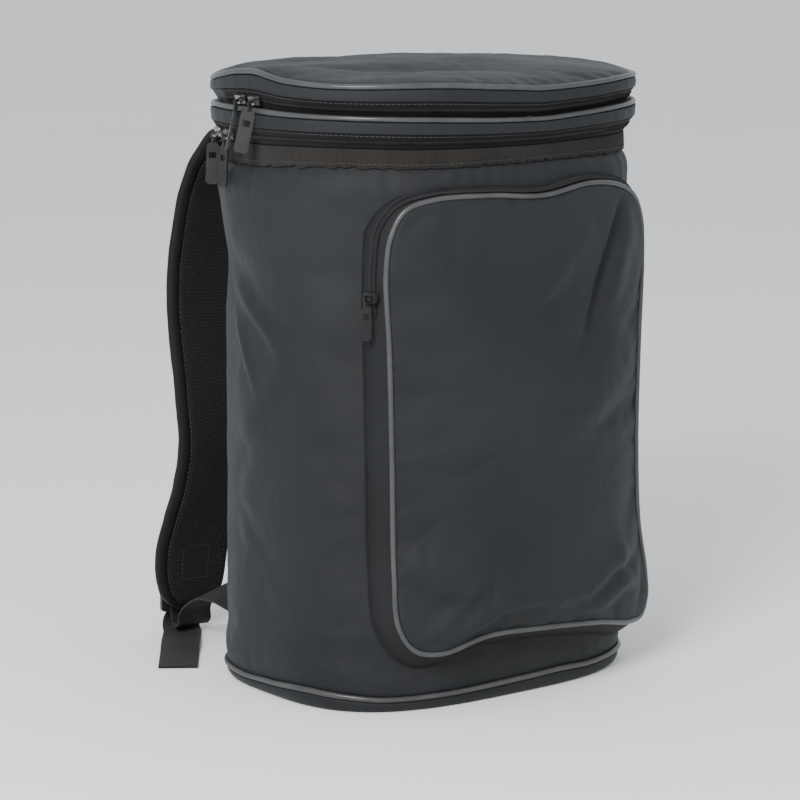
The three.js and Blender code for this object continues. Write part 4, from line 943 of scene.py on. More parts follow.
def cloth_profile(corners, radius, spacing):
    """A rounded profile with points along its long sides as well."""
    line = rounded(corners, radius)
    closed = np.concatenate([line, line[:1]])
    filled = []
    for a, b in zip(closed, closed[1:]):
        count = max(1, int(np.linalg.norm(b - a) / spacing))
        filled.extend(a + (b - a) * k / count for k in range(count))
    return np.array(filled)


def piping_ring(name, height, out, node):
    """A round vinyl cord round the bag."""
    around, angles = places(), turns(PIPING_SIDES)
    wobble = 1 + 0.03 * ripple(around, 40, 120, 8)[:, None]
    reach = PIPING_RADIUS * wobble
    shape = ring(around, height + reach * np.sin(angles), out + reach * np.cos(angles))
    make(name, shape, PIPING, "piping_cord", [node])


# Base and wall.


def make_base():
    around = places()
    rows = [(BASE_HEIGHT, -SEAM_TUCK - GAP), (BASE_HEIGHT - SEAM_TUCK * 0.3, -SEAM_TUCK * 0.45),
            (BASE_HEIGHT - SEAM_TUCK, 0)]
    for share, inset in ((0.5, 0.03), (0.33, 0.12), (0.2, 0.25), (0.1, 0.42), (0.025, 0.7), (0, 1)):
        rows.append((BASE_HEIGHT * share, -BASE_EDGE * inset))
    side = np.stack([drum(around, height, out)[0] for height, out in rows])
    inward = np.array([0.9, 0.75, 0.55, 0.35, 0.15])[:, None, None]
    under = side[-1][None] * [1, 1, 0] * inward
    upper = (side[0] * [1, 1, 0])[None] * inward[::-1] + [0, 0, BASE_HEIGHT]
    shape = grid(np.concatenate([upper, side, under]), loop_columns=True, caps=True)
    base = make("base_cloth", shape, SHELL, "shell_fabric", ["base_panel"])
    piping_ring("base_piping_cord", BASE_HEIGHT + GAP / 2, 0, "base_piping")


def near_pocket_seam(points):
    """Which points of the wall are held where the pocket is sewn on."""
    return np.linalg.norm(points[..., None, :] - EDGE["seam"][::4], axis=-1).min(-1) < SEAM_HOLD


def make_wall():
    around = places()
    neck = BINDING_FOOT - GAP
    turn = around[:, None]
    low = np.array([WALL_FOOT, WALL_FOOT + SEAM_TUCK * 0.4])[None]
    face = np.linspace(WALL_FOOT + SEAM_TUCK, neck - 1.5, WALL_STEPS)[None]
    relief = wall_relief(turn, face)
    outer, _ = drum(turn, face, 0)
    relief = relief + 0.5 * crumple(outer, 38) + 0.22 * crumple(outer + 500, 11)
    corner = ease(np.clip((face - WALL_FOOT) / 14, 0, 1))
    relief = relief * corner + (1 - corner) * np.minimum(relief, 0.2)
    outer, away = drum(turn, face, relief)
    moved = settled(outer.transpose(1, 0, 2), (0, -1), 3, 4, WALL_PLAY, near_pocket_seam).transpose(1, 0, 2)
    relief = relief + (moved * away).sum(-1)
    face = face + moved[..., 2]
    lining_heights = np.array([WALL_TOP, WALL_FOOT + WALL_HEIGHT * 0.86, WALL_FOOT + WALL_HEIGHT * 0.68,
                               WALL_FOOT + WALL_HEIGHT * 0.3, WALL_FOOT])[None]
    lining = wall_relief(turn, lining_heights) * [0, 1, 1, 1, 0] - WALL_THICKNESS
    lining = lining - np.array([BINDING_RECESS, 0, 0, 0, 0])
    heights = [low, face, np.array([[neck, WALL_TOP]]), lining_heights]
    outs = [
        np.array([[-SEAM_TUCK - GAP, -SEAM_TUCK * 0.35]]),
        relief,
        np.full((1, 2), -BINDING_RECESS),
        lining,
    ]
    stack = lambda parts: np.concatenate([np.broadcast_to(p, (len(around), p.shape[1])) for p in parts], 1)
    shape = ring(around, stack(heights), stack(outs))
    wall = make("wall_cloth", shape, SHELL, "shell_fabric", ["body_wall"])


def make_binding():
    """The bound mouth: ribbed tape with a rippled lower edge and a row of stitches."""
    around = places()
    turn = around[:, None]
    inside = -BINDING_RECESS + GAP
    outside = inside + BINDING_THICKNESS
    back = outside - BINDING_THICKNESS * 3
    corners = [
        (BINDING_FOOT, inside), (BINDING_FOOT, outside), (BINDING_TOP, outside),
        (BINDING_TOP, back), (WALL_TOP + GAP, back), (WALL_TOP + GAP, inside),
    ]
    profile = cloth_profile(corners, 0.6, 1.6)
    low = np.clip((BINDING_TOP - profile[:, 0]) / BINDING_WIDTH, 0, 1)[None]
    outer = (profile[:, 1] > inside + 0.3)[None]
    ripples = ripple(turn, 60, 150, 12)
    heights = profile[:, 0][None] - 1.1 * ripple(turn, 35, 110, 11) * low**3 - 0.4
    outs = profile[:, 1][None] + outer * (0.5 * ripples * low + 0.9 * low * (1 - low) * 4 * 0.35 + 0.3)
    shape = ring(around, heights, outs)
    make("binding_cloth", shape, BINDING, "binding_tape", ["binding_band"])
    seam_height = BINDING_FOOT + 2.6 - 0.8 * ripple(around, 35, 110, 11) * 0.6
    line, _ = drum(around, seam_height, outside + 0.75 + 0.35 * ripple(around, 60, 150, 12))
    sewn = stitches(np.concatenate([line, line[:1]]), np.tile([0.0, 0.0, 1.0], (FINE + 1, 1)))
    make("binding_stitches", sewn, THREAD, "binding_tape")


# Zips, bands and lid.


def zip_frame(face, around, share, lift):
    """Points on a zip's leaning face and the direction up it."""
    height = face["foot"] + ZIP_HEIGHT * share
    out = face["foot_out"] + (face["top_out"] - face["foot_out"]) * share
    line, away = drum(around, height, out + lift)
    slope = math.atan2(face["top_out"] - face["foot_out"], ZIP_HEIGHT)
    return line, away * math.sin(slope) + np.array([0, 0, math.cos(slope)])


LOWER_ZIP = {"foot": LOWER_ZIP_FOOT, "foot_out": 0, "top_out": BAND_REACH - BAND_THICKNESS / 2}
UPPER_ZIP = {"foot": UPPER_ZIP_FOOT, "foot_out": 2, "top_out": BAND_REACH - BAND_THICKNESS / 2}


def make_zip(prefix, face, hinge):
    foot, top = face["foot"] - ZIP_TUCK, face["foot"] + ZIP_HEIGHT + ZIP_TUCK
    corners = [
        (foot, face["foot_out"] - ZIP_THICKNESS), (foot, face["foot_out"]),
        (top, face["top_out"]), (top, face["top_out"] - ZIP_THICKNESS),
    ]
    profile = cloth_profile(corners, 0.5, 1.8)
    around = places(hinge, 1 - hinge)
    sag = 0.3 * ripple(around, 20, 60, 21)[:, None]
    shape = ring(around, profile[:, 0][None] + 0 * sag, profile[:, 1][None] + sag)
    make(prefix + "_zip_tape", shape, ZIP_TAPE, "zip_tape", [prefix + "_zip"])
    shift = drum(around, foot, 0)[1] * sag
    line, up = zip_frame(face, around, 0.42, 0.3)
    make(prefix + "_zip_coil", coil(line + shift, up), COIL, "zip_tape")
    line, up = zip_frame(face, around, 0.86, 0.1)
    make(prefix + "_zip_stitches", stitches(line + shift, up), THREAD, "zip_tape")
    slit = GAP / GIRTH
    back = places(-hinge + slit, hinge - slit)
    shape = ring(back, profile[:, 0][None], profile[:, 1][None] + 0.35 * ripple(back, 15, 40, 22)[:, None])
    make(prefix + "_hinge_cloth", shape, SHELL, "shell_fabric", [prefix + "_hinge_panel"])


def band_ring(name, corners, node, seed):
    """A strip of shell cloth round the bag, softly rounded, with a little puckering."""
    around = places()
    profile = cloth_profile(corners, 0.8, 1.7)
    middle = profile[:, 0].mean()
    crown = 0.5 * np.exp(-(((profile[:, 0] - middle) / 3) ** 2)) * (profile[:, 1] > BAND_REACH - 0.8)
    outs = profile[:, 1][None] + crown[None] + 0.22 * ripple(around, 30, 90, seed)[:, None]
    make(name, ring(around, profile[:, 0][None] + 0 * outs, outs), SHELL, "shell_fabric", [node])


def make_expander():
    top = UPPER_ZIP_FOOT - GAP
    ledge = BAND_REACH - 2 * PIPING_RADIUS
    inner = ledge - 4
    corners = [
        (EXPANDER_FOOT, BAND_REACH - BAND_THICKNESS), (EXPANDER_FOOT, BAND_REACH),
        (EXPANDER_SHOULDER, BAND_REACH), (EXPANDER_SHOULDER, ledge), (top, ledge), (top, inner),
        (top - BAND_THICKNESS, inner), (EXPANDER_SHOULDER - BAND_THICKNESS, BAND_REACH - BAND_THICKNESS),
    ]
    band_ring("expander_cloth", corners, "expander_band", 31)
    piping_ring("expander_piping_cord", EXPANDER_PIPING_Z, ledge + GAP + PIPING_RADIUS, "expander_piping")


def make_lid_band():
    corners = [
        (LID_BAND_FOOT, BAND_REACH - BAND_THICKNESS), (LID_BAND_FOOT, BAND_REACH),
        (LID_BAND_TOP, BAND_REACH), (LID_BAND_TOP, BAND_REACH - BAND_THICKNESS),
    ]
    band_ring("lid_band_cloth", corners, "lid_band", 32)
    piping_ring("lid_piping_cord", LID_PIPING_Z, LID_EDGE + GAP + PIPING_RADIUS, "lid_piping")


# How high the lid's padded panel stands, as a share of its crown, by the way out from the middle.
LID_ROWS = table("reach rise", [
    (0, 1), (0.2, 0.98), (0.5, 0.85), (0.76, 0.62), (0.91, 0.42), (0.975, 0.22), (1, 0),
])

# Soft folds in the lid, from places across and back as shares of half the bag's width and depth.
LID_FOLDS = table("path wide steep rise", [
    ([(-0.75, -0.5), (-0.35, -0.42), (0.05, -0.6)], 17, 0.8, -4.2),
    ([(-0.8, 0.1), (-0.5, -0.2), (-0.25, -0.3)], 14, 0.8, -3.4),
    ([(-0.2, -0.2), (0.2, -0.1), (0.6, -0.3)], 22, 1.2, 1.4),
    ([(0.1, 0.5), (0.35, 0.25), (0.75, 0.2)], 14, 0.7, -1.6),
    ([(-0.5, 0.6), (-0.1, 0.45), (0.2, 0.6)], 15, 1.3, -1.5),
])


def make_lid():
    around = places()
    rim, _ = drum(around, LID_PIPING_Z, LID_EDGE)
    lift = rim[:, 2] - LID_PIPING_Z

    def ring_at(reach, height):
        x, y = rim[:, 0] * reach, rim[:, 1] * reach
        return np.stack([x, y, height + lift * reach**2], -1)

    reaches = 1 - np.linspace(1, 0, LID_STEPS)[1:-1] ** 1.4
    heights = LID_PIPING_Z + LID_CROWN * row_curve(LID_ROWS, "reach", "rise", reaches)
    top = np.stack([ring_at(reach, height) for reach, height in zip(reaches, heights)])
    x, y = top[..., 0], top[..., 1]
    soft = ease(np.clip((1 - reaches) / 0.14, 0, 1))[:, None]
    relief = folded(LID_FOLDS, x, y, BAG_WIDTH / 2, BAG_DEPTH / 2)
    relief = relief + 0.8 * crumple(top, 45) + 0.25 * crumple(top + 300, 12)
    edge = np.exp(-((1 - reaches) / 0.06))[:, None] * 0.35 * ripple(around, 25, 70, 41)[None]
    top[..., 2] += relief * soft + edge
    top = top + settled(top, (-1,), 3, 5, LID_PLAY)
    under = LID_PIPING_Z - LID_THICKNESS
    rows = [
        ring_at(1, LID_PIPING_Z), ring_at(1, under + 1.5), ring_at(0.99, under),
        ring_at(0.5, under + LID_CROWN * 0.3), ring_at(0.1, under + LID_CROWN * 0.4),
    ]
    shape = grid(np.concatenate([top, np.stack(rows)]), loop_columns=True, caps=True)
    lid = make("lid_cloth", shape, SHELL, "shell_fabric", ["lid_panel"])


# Front pocket.


def pocket_depth(x):
    return POCKET_EDGE_DEPTH + POCKET_BOW * (1 - (x / POCKET_BOW_HALF) ** 2)


def front_depth(x, z):
    """How far in front of the axis the wall is at a place across and up, found by halving."""
    low, high = np.full(np.shape(x), 0.26), np.full(np.shape(x), 0.74)
    for _ in range(30):
        middle = (low + high) / 2
        left = drum(middle, z, wall_relief(middle, z))[0][..., 0] < x
        low, high = np.where(left, middle, low), np.where(left, high, middle)
    return -drum(low, z, wall_relief(low, z))[0][..., 1]


def closed_curve(points, per_span=24):
    """A smooth closed curve through points, with centripetal tangents."""
    count = len(points)
    line = []
    for i in range(count):
        p = [points[(i + k) % count] for k in (-1, 0, 1, 2)]
        d = [math.dist(a, b) ** 0.5 for a, b in zip(p, p[1:])]
        m1 = ((p[1] - p[0]) / d[0] - (p[2] - p[0]) / (d[0] + d[1]) + (p[2] - p[1]) / d[1]) * d[1]
        m2 = ((p[2] - p[1]) / d[1] - (p[3] - p[1]) / (d[1] + d[2]) + (p[3] - p[2]) / d[2]) * d[1]
        for t in np.arange(per_span) / per_span:
            start = (2 * t**3 - 3 * t**2 + 1) * p[1] + (t**3 - 2 * t**2 + t) * m1
            line.append(start + (3 * t**2 - 2 * t**3) * p[2] + (t**3 - t**2) * m2)
    return np.array(line)


SEAM_STAND = 0.5


def pocket_edge():
    """The pocket's edge step by step: its place on the face, the direction out of the outline, and the
    seam where the gusset meets the wall."""
    corners = np.array([(POCKET_CENTRE_X + a * POCKET_WIDTH, POCKET_CENTRE_Z + u * POCKET_HEIGHT)
                        for a, u in POCKET_OUTLINE])
    line = stepped(closed_curve(corners), EDGE_STEPS)
    tangent = unit(np.roll(line, -1, 0) - np.roll(line, 1, 0))
    zero = np.zeros(EDGE_STEPS)
    away = np.stack([-tangent[:, 1], zero, tangent[:, 0]], 1)
    face = np.stack([line[:, 0], -pocket_depth(line[:, 0]), line[:, 1]], 1)
    flare = np.where(away[:, 2] < 0, GUSSET_FLARE_BOTTOM, GUSSET_FLARE_TOP)
    limit = POCKET_WIDTH / 2 + GUSSET_FLARE_SIDE
    wide = line[:, 0] - POCKET_CENTRE_X + away[:, 0] * GUSSET_FLARE_SIDE
    seam_x = POCKET_CENTRE_X + np.clip(wide, -limit, limit)
    seam_z = line[:, 1] + away[:, 2] * flare
    seam = np.stack([seam_x, -front_depth(seam_x, seam_z) - SEAM_STAND, seam_z], 1)
    return {"face": face, "away": away, "seam": seam}


EDGE = pocket_edge()


def gusset_line(edge, share, lift=0):
    """A line along the gusset, a share of the way from the seam on the wall to the pocket's edge."""
    swell = np.sin(np.pi * share) * GUSSET_SWELL
    return edge["seam"] + (edge["face"] - edge["seam"]) * share + edge["away"] * (swell + lift)


def make_gusset():
    places_round = np.arange(EDGE_STEPS) / EDGE_STEPS
    shares = np.linspace(0, 1, 16)
    back = np.array([0, PIPING_RADIUS + GAP, 0])
    puckers = 0.45 * ripple(places_round, 25, 70, 51)[:, None]
    outer = []
    for share in shares:
        near_seam = np.exp(-share / 0.12) + np.exp(-(1 - share) / 0.14)
        outer.append(gusset_line(EDGE, share, puckers * near_seam) + back * share)
    flange = EDGE["seam"] + EDGE["away"] * 1.6 + [0, SEAM_STAND, 0]
    lining = [gusset_line(EDGE, share, -POCKET_CLOTH) + back * share for share in shares[::-3]]
    rows = np.stack([flange, *outer, *lining], 1)
    shape = grid(rows, loop_rows=True, loop_columns=True)
    # The gusset wears the darker copy of the shell cloth, which is painted shade.
    gusset = make("gusset_painted_shade_cloth", shape, GUSSET_PAINTED_SHADE_CLOTH, "shell_fabric", ["pocket_gusset"])


def make_pocket_face():
    inset = PIPING_RADIUS * 0.8
    rim = EDGE["face"] - EDGE["away"] * inset
    shares = 1 - np.linspace(1, 0, POCKET_STEPS)[1:, None] ** 1.25
    across, up = rim[:, 0] - POCKET_CENTRE_X, rim[:, 2] - POCKET_CENTRE_Z
    x, z = POCKET_CENTRE_X + across * shares, POCKET_CENTRE_Z + up * shares
    reach = np.hypot(across, up) * (1 - shares)
    soft = ease(np.clip(reach / 16, 0, 1))
    flat = np.stack([x, np.zeros_like(x), z], -1)
    sizes = POCKET_WIDTH, POCKET_HEIGHT, POCKET_FOLD_STRENGTH
    relief = folded(POCKET_FOLDS, across * shares, up * shares, *sizes)
    relief = relief + 0.7 * crumple(flat + 900, 46) + 0.25 * crumple(flat + 70, 13)
    pucker = 0.4 * ripple(np.arange(EDGE_STEPS) / EDGE_STEPS, 30, 80, 52)[None] * np.exp(-reach / 7)
    tuck = 1.4 * np.exp(-reach / 3)
    front = np.stack([x, -pocket_depth(x) - POCKET_CLOTH / 2 - relief * soft - pucker + tuck, z], -1)
    front = front + settled(front, (-1,), 4, 4, POCKET_PLAY)
    back = np.stack([x, -pocket_depth(x) + POCKET_CLOTH / 2, z], -1)[::-8]
    shape = grid(np.concatenate([front, back]), loop_columns=True, caps=True)
    flatten_uv(shape)
    face = make("pocket_face_cloth", shape, SHELL, "shell_fabric", ["pocket_face"])


def flatten_uv(shape):
    """Lays the cloth's threads level and upright over a shape that faces the front."""
    flat = shape.points[:, [0, 2]] * MM
    shape.quad_uv, shape.triangle_uv = flat[shape.quads], flat[shape.triangles]


def make_pocket_piping():
    angles = turns(PIPING_SIDES)
    wobble = PIPING_RADIUS * (1 + 0.03 * ripple(np.arange(EDGE_STEPS) / EDGE_STEPS, 40, 120, 8))
    rings = EDGE["face"][:, None] + EDGE["away"][:, None] * (wobble[:, None] * np.cos(angles))[..., None]
    rings[..., 1] += wobble[:, None] * np.sin(angles)
    shape = grid(rings, loop_rows=True, loop_columns=True)
    make("pocket_piping_cord", shape, PIPING, "piping_cord", ["pocket_piping"])


def zip_run():
    """The steps of the pocket's edge that its zip follows, from low on the left over the top."""
    z = EDGE["face"][:, 2]
    top = int(np.argmax(z))
    foot = POCKET_SLIDER_HEIGHT - 12
    left = next(i for i in range(1, EDGE_STEPS) if z[(top - i) % EDGE_STEPS] < foot)
    right = next(i for i in range(1, EDGE_STEPS) if z[(top + i) % EDGE_STEPS] < foot)
    steps = np.arange(top - left, top + right) % EDGE_STEPS
    return {key: EDGE[key][steps] for key in EDGE}


def make_pocket_zip():
    edge = zip_run()
    deep = np.linalg.norm(edge["face"] - edge["seam"], axis=1)[:, None]
    half, lip = POCKET_ZIP_WIDTH / 2, POCKET_ZIP_THICKNESS
    rows = [(-1, 0), (-1, 0.8), (-0.8, lip), (-0.4, 0.9), (0, 0.9),
            (0.4, 0.9), (0.7, lip), (0.8, 0.8), (0.8, 0), (0, 0)]
    points = [gusset_line(edge, 0.5 + across * half / deep, lift + 0.4) for across, lift in rows]
    tape = grid(np.stack(points, 1), loop_columns=True, caps=True)
    make("pocket_zip_tape", tape, POCKET_TAPE, "zip_tape", ["pocket_zip"])
    wires = coil(gusset_line(edge, 0.5, 1.4), edge["face"] - edge["seam"], POCKET_COIL_WIDTH)
    make("pocket_zip_coil", wires, COIL, "zip_tape")


# Straps and webbing.


def back_depth(x, z):
    half_width, half_depth, squareness = section(z)
    return half_depth * (1 - (abs(x) / half_width) ** squareness) ** (1 / squareness)


def strap_line(count=220):
    """The strap's centre line with the direction of its width, its width and its thickness."""
    half = BAG_WIDTH / 2
    x = column(STRAP_ROWS, "across") * half
    seat_x = x[0]
    centre = np.stack([x, BAG_DEPTH / 2 + column(STRAP_ROWS, "back") * STRAP_ARCH,
                       STRAP_FOOT + column(STRAP_ROWS, "up") * STRAP_DROP], 1)
    seat = [seat_x, back_depth(seat_x, STRAP_SEAT_HEIGHT) + 0.9, STRAP_SEAT_HEIGHT]
    centre = np.concatenate([[seat], centre])
    turn = np.radians(np.concatenate([[STRAP_SEAT_TURN], column(STRAP_ROWS, "turn")]))
    width = np.concatenate([[1], column(STRAP_ROWS, "wide")]) * STRAP_WIDTH
    thickness = np.concatenate([[STRAP_SEAT_THICKNESS], column(STRAP_ROWS, "thick") * STRAP_THICKNESS])
    chord = lengths_along(centre)
    at = np.linspace(0, chord[-1], count)
    line = smooth_at(at, chord, centre)
    angle = through(chord, turn, at)
    side = np.stack([np.cos(angle), np.sin(angle), np.zeros(count)], 1)
    return line, side, through(chord, width, at), through(chord, thickness, at)


def ribbon_frames(line, side):
    run = unit(np.gradient(line, axis=0))
    normal = unit(np.cross(run, side))
    return normal, np.cross(normal, run)


def make_strap_pad(line, side, width, thickness):
    """The padded strap: a rounded section with a sewn channel inside each edge."""
    normal, across = ribbon_frames(line, side)
    angles = (np.arange(STRAP_SIDES) + 0.5) * 2 * np.pi / STRAP_SIDES
    wide = signed_power(np.cos(angles), 0.5)[None] * width[:, None] / 2
    thick = signed_power(np.sin(angles), 0.62)[None] * thickness[:, None] / 2
    channel = np.exp(-(((np.abs(wide) - (width[:, None] / 2 - MESH_MARGIN - 0.5)) / 1.7) ** 2))
    thick = thick * (1 - 0.3 * channel)
    points = line[:, None] + across[:, None] * wide[..., None] + normal[:, None] * thick[..., None]
    wrinkle = 0.35 * crumple(points + 40, 17)
    outward = across[:, None] * (wide / width[:, None])[..., None]
    outward = outward + normal[:, None] * np.sign(thick)[..., None]
    points = points + unit(outward) * wrinkle[..., None]
    return grid(points, loop_columns=True, caps=True)


def mesh_pattern(s, w):
    """The height of the air mesh: rows of six-sided openings with rounded strands between."""
    total = 0
    for degrees in (0, 60, 120):
        angle = math.radians(degrees)
        phase = (s * math.cos(angle) + w * math.sin(angle)) * 2 * math.pi / (MESH_CELL * 0.866)
        total = total + np.cos(phase)
    opening = ease(np.clip((total + 0.6) / 2.2, 0, 1))
    return -MESH_DEPTH * opening


def make_strap_mesh(line, side, width, thickness):
    normal, across = ribbon_frames(line, side)
    lengths = lengths_along(line)
    start, end = lengths[-1] * 0.04, lengths[-1] * 0.985
    along = np.arange(start, end, MESH_CELL / 3.6)
    centre, out, wide_way = (read_at(along, lengths, values) for values in (line, normal, across))
    half = np.maximum(np.interp(along, lengths, width) / 2 - MESH_MARGIN, 3)
    w = np.linspace(-1, 1, MESH_COLUMNS)[None] * half[:, None]
    lift = np.interp(along, lengths, thickness)[:, None] / 2 + MESH_THICKNESS * 0.75
    border = ease(np.clip((half[:, None] - np.abs(w)) / 2.5, 0, 1))
    ends = ease(np.clip(np.minimum(along - start, end - along) / 3, 0, 1))[:, None]
    top = lift + mesh_pattern(along[:, None], w) * border * ends - (1 - border * ends) * MESH_THICKNESS * 0.8
    bottom = np.interp(along, lengths, thickness)[:, None] / 2 - 1.2 + 0 * w
    flat = centre[:, None] + wide_way[:, None] * w[..., None]
    upper, lower = (flat + out[:, None] * height[..., None] for height in (top, bottom))
    return grid(np.concatenate([upper, lower[:, ::-6]], 1), loop_columns=True, caps=True)


STRAP_END_X = STRAP_ROWS[-1]["across"] * BAG_WIDTH / 2
PAD_BACK = BAG_DEPTH / 2 + STRAP_ARCH + STRAP_THICKNESS / 2
INNER_PLY = PAD_BACK + GAP + WEB_THICKNESS / 2
BUCKLE_Y = INNER_PLY + WEB_THICKNESS / 2 + GAP + BUCKLE_THICKNESS / 2
OUTER_PLY = BUCKLE_Y + BUCKLE_THICKNESS / 2 + GAP + WEB_THICKNESS / 2
BAR_PITCH = (BUCKLE_HEIGHT - BUCKLE_BAR) / 2


def turn_round(height, over):
    """A half turn of webbing round a buckle bar: over is 1 over it and -1 under it."""
    middle, reach = (INNER_PLY + OUTER_PLY) / 2, (OUTER_PLY - INNER_PLY) / 2
    clear = WEB_THICKNESS / 2 + GAP * 3
    stops = []
    for share in (0, 0.2, 0.5, 0.8, 1):
        angle = math.pi * share
        rise = over * (BUCKLE_BAR / 2 + math.sin(angle) * clear)
        stops.append(((STRAP_END_X, middle - reach * math.cos(angle), height + rise), (1, 0, 0)))
    return stops


def webbing(stops, spacing=1.6):
    """Flat webbing through a list of places and directions of its width, with rounded edges."""
    centre = np.array([stop[0] for stop in stops], float)
    side = np.array([stop[1] for stop in stops], float)
    chord = lengths_along(centre)
    at = np.linspace(0, chord[-1], int(chord[-1] / spacing))
    line = smooth_at(at, chord, centre)
    normal, across = ribbon_frames(line, unit(smooth_at(at, chord, side)))
    wide, thick = WEB_WIDTH / 2, WEB_THICKNESS / 2
    corners = [(-wide, -thick), (wide, -thick), (wide, thick), (-wide, thick)]
    section_line = cloth_profile(corners, 0.7, 1.5)
    points = line[:, None] + across[:, None] * section_line[:, 0][None, :, None]
    points = points + normal[:, None] * section_line[:, 1][None, :, None]
    return grid(points, loop_columns=True, caps=True)


def stop(x, y, z, toward=0, tilt=0):
    return (x, y, z), (1, toward, tilt)


def buckle_loop():
    bar = BUCKLE_CENTRE_Z + BAR_PITCH
    doubled = INNER_PLY + WEB_THICKNESS + GAP
    stops = [
        stop(STRAP_END_X, INNER_PLY, bar + LOOP_LENGTH),
        stop(STRAP_END_X, INNER_PLY, bar + BUCKLE_BAR / 2),
        *turn_round(bar, -1),
    ]
    for row in LOOP_ROWS:
        ply = doubled if row["doubled"] else OUTER_PLY
        stops.append(stop(STRAP_END_X, ply, bar + row["up"] * LOOP_LENGTH))
    return webbing(stops)


def adjuster_web():
    """Out of the bag's bottom corner in a low arch, up behind the buckle, over its middle bar and down to
    the floor as a free tail that lies towards the front."""
    leave = back_depth(STRAP_END_X + WEB_WIDTH / 2, WEB_LEAVE_Z) + GAP + WEB_THICKNESS
    under = BUCKLE_CENTRE_Z - BUCKLE_HEIGHT / 2
    floor = WEB_THICKNESS / 2 + GAP * 1.5
    stops = []
    for row in WEB_ROWS:
        y = leave + (INNER_PLY - leave) * row["over"]
        x = STRAP_END_X - WEB_SWAY * row["sway"]
        stops.append(stop(x, y, WEB_LEAVE_Z * row["up"], row["toward"], row["tilt"]))
    stops.append(stop(STRAP_END_X, INNER_PLY, under))
    stops.extend(turn_round(BUCKLE_CENTRE_Z, 1))
    stops.append(stop(STRAP_END_X, OUTER_PLY, under + GAP * 3))
    for row in DROP_ROWS:
        x, y = STRAP_END_X - WEB_SWAY * row["sway"], OUTER_PLY + WEB_SWAY * row["back"]
        stops.append(stop(x, y, floor + WEB_LEAVE_Z * row["up"], row["toward"]))
    sine, cosine = math.sin(math.radians(TAIL_TURN)), math.cos(math.radians(TAIL_TURN))
    for row in TAIL_ROWS:
        along = TAIL_REACH * row["along"]
        place = (x - sine * along, y - cosine * along, floor + TAIL_HUMP * row["rise"])
        stops.append((place, (cosine, -sine, 0)))
    return webbing(stops)


def strap_stitches(line, side, width, thickness):
    """A row of stitches just inside each edge of the air mesh, and a sewn box near the strap's end."""
    normal, across = ribbon_frames(line, side)
    half = np.maximum(width / 2 - MESH_MARGIN, 3)[:, None]
    lift = (thickness / 2 + MESH_THICKNESS * 0.35)[:, None]
    rows = []
    inner = slice(12, -6)
    for hand in (-1, 1):
        row = line + across * hand * (half + 0.6) + normal * lift
        rows.append(stitches(row[inner], across[inner]))
    lengths = lengths_along(line)
    foot = lengths[-1] - PATCH_LENGTH * 1.9
    top = line + normal * (thickness[:, None] / 2 + MESH_THICKNESS * 0.8)
    run = np.linspace(foot, foot + PATCH_LENGTH, 12)
    for hand in (-1, 1):
        edge = read_at(run, lengths, top + across * hand * PATCH_WIDTH / 2)
        rows.append(stitches(edge, read_at(run, lengths, across)))
    ends = np.linspace(-PATCH_WIDTH / 2, PATCH_WIDTH / 2, 8)[:, None]
    ways = unit(np.gradient(line, axis=0))
    for at in (foot, foot + PATCH_LENGTH):
        centre, out, way = (read_at(np.full(8, at), lengths, values) for values in (top, across, ways))
        rows.append(stitches(centre + out * ends, way))
    return together(rows)


def make_straps():
    strap = strap_line()
    pieces = [
        ("strap_pad", "strap_cloth", make_strap_pad(*strap), STRAP_CLOTH, "shell_fabric"),
        ("strap_mesh", "strap_air_mesh", make_strap_mesh(*strap), AIR_MESH, "air_mesh"),
        ("buckle_loop", "buckle_loop_web", buckle_loop(), WEBBING, "webbing"),
        ("adjuster_web", "adjuster_webbing", adjuster_web(), WEBBING, "webbing"),
    ]
    for node, name, shape, material, slot in pieces:
        for hand, form in (("left", shape), ("right", shape.mirrored())):
            piece = make(f"{name}_{hand}", form, material, slot, [f"{node}_{hand}"])
    sewn = strap_stitches(*strap)
    make("strap_stitches_left", sewn, THREAD, "air_mesh")
    make("strap_stitches_right", sewn.mirrored(), THREAD, "air_mesh")


# The hard pieces: the solids' own form with softened edges.

EDGE_SOFTENING = 0.25
EDGE_ANGLE = 35


def make_hard_pieces():
    bodies = frame["record"]["behaviour"]["bodies"]
    body_of = {name: body for body, names in bodies.items() for name in names}
    kinds = {
        "pocket_slider": (GUNMETAL, "slider_metal"),
        "_slider": (NICKEL, "slider_metal"),
        "_pull": (GUNMETAL, "pull_metal"),
        "buckle_left": (PLASTIC, "buckle_plastic"),
        "buckle_right": (PLASTIC, "buckle_plastic"),
    }
    for name, node in frame["nodes"].items():
        kind = next((kinds[ending] for ending in kinds if name.endswith(ending)), None)
        if kind is None:
            continue
        piece = place_piece(name + "_smooth", node.data.copy(), *kind, [name], body_of[name])
        bevel = piece.modifiers.new("soft_edges", "BEVEL")
        bevel.width = EDGE_SOFTENING * MM
        bevel.segments = 2
        bevel.limit_method = "ANGLE"
        bevel.angle_limit = math.radians(EDGE_ANGLE)


# Camera, floor and light.


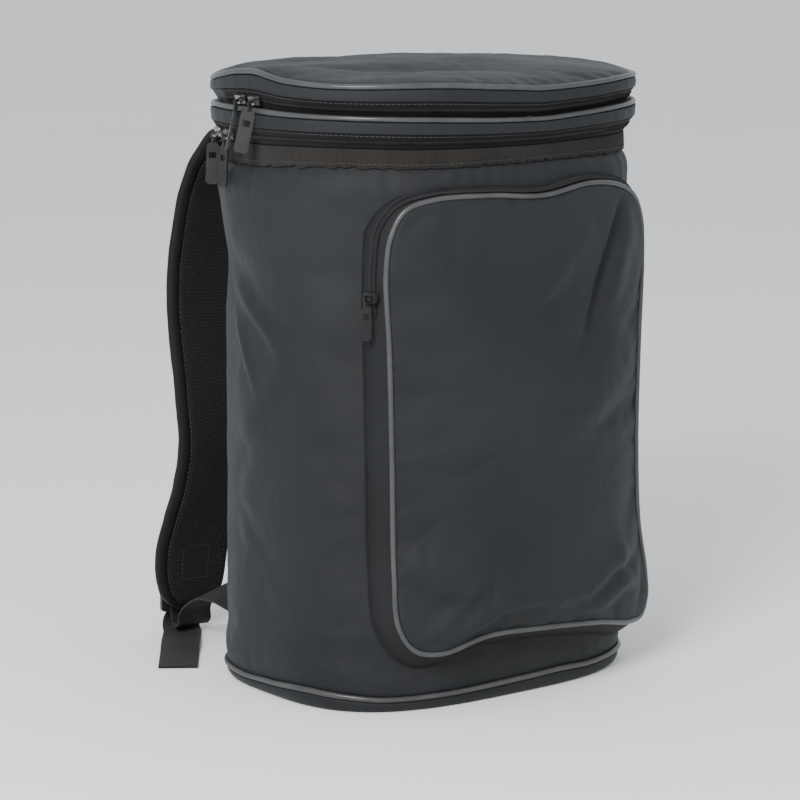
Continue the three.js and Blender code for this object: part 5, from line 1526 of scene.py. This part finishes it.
def make_camera():
    data = bpy.data.cameras.new("camera")
    data.lens = CAMERA_LENS
    data.sensor_width = CAMERA_SENSOR
    data.clip_end = 60
    camera = bpy.data.objects.new("camera", data)
    azimuth, pitch = math.radians(CAMERA_AZIMUTH), math.radians(CAMERA_PITCH)
    level = math.cos(pitch)
    look = Vector((math.sin(azimuth) * level, math.cos(azimuth) * level, -math.sin(pitch)))
    camera.location = CAMERA_PLACE
    camera.rotation_euler = look.to_track_quat("-Z", "Y").to_euler()
    bpy.context.scene.collection.objects.link(camera)
    bpy.context.scene.camera = camera


def make_floor():
    mesh = bpy.data.meshes.new("floor")
    corners = [(x * FLOOR_HALF, y * FLOOR_HALF, 0) for x, y in ((-1, -1), (1, -1), (1, 1), (-1, 1))]
    mesh.from_pydata(corners, [], [(0, 1, 2, 3)])
    made, tree, shader = blank("floor_paint", 0.7, Specular_IOR_Level=0.2)
    tint(tree, shader, span(tree, speckle(tree, 3, 3), 0.3, 0.7, 0, 1), (0.88, 0.88, 0.88), (0.9, 0.9, 0.9))
    mesh.materials.append(made)
    floor = bpy.data.objects.new("floor", mesh)
    bpy.context.scene.collection.objects.link(floor)


def soft_light(name, place, aim, size, power):
    data = bpy.data.lights.new(name, "AREA")
    data.shape = "DISK"
    data.size = size
    data.energy = power
    light = bpy.data.objects.new(name, data)
    light.location = place
    light.rotation_euler = (Vector(aim) - Vector(place)).to_track_quat("-Z", "Y").to_euler()
    bpy.context.scene.collection.objects.link(light)


def make_light():
    world = bpy.data.worlds.new("studio")
    world.use_nodes = True
    background = world.node_tree.nodes["Background"]
    background.inputs[0].default_value = (0.93, 0.96, 1, 1)
    background.inputs[1].default_value = SKY_STRENGTH
    bpy.context.scene.world = world
    aim = (0, 0, 0.25)
    soft_light("key", (-1.85, -1.2, 1.5), aim, 1.0, KEY_POWER)
    soft_light("fill", (0.9, -2.2, 1.3), aim, 1.8, FILL_POWER)
    soft_light("top", (0.1, 0.5, 2.4), aim, 1.6, TOP_POWER)


make_camera()
make_floor()
make_light()
make_base()
make_wall()
make_binding()
make_zip("lower", LOWER_ZIP, HINGE_LOWER)
make_expander()
make_zip("upper", UPPER_ZIP, HINGE_UPPER)
make_lid_band()
make_lid()
make_gusset()
make_pocket_piping()
make_pocket_face()
make_pocket_zip()
make_straps()
make_hard_pieces()
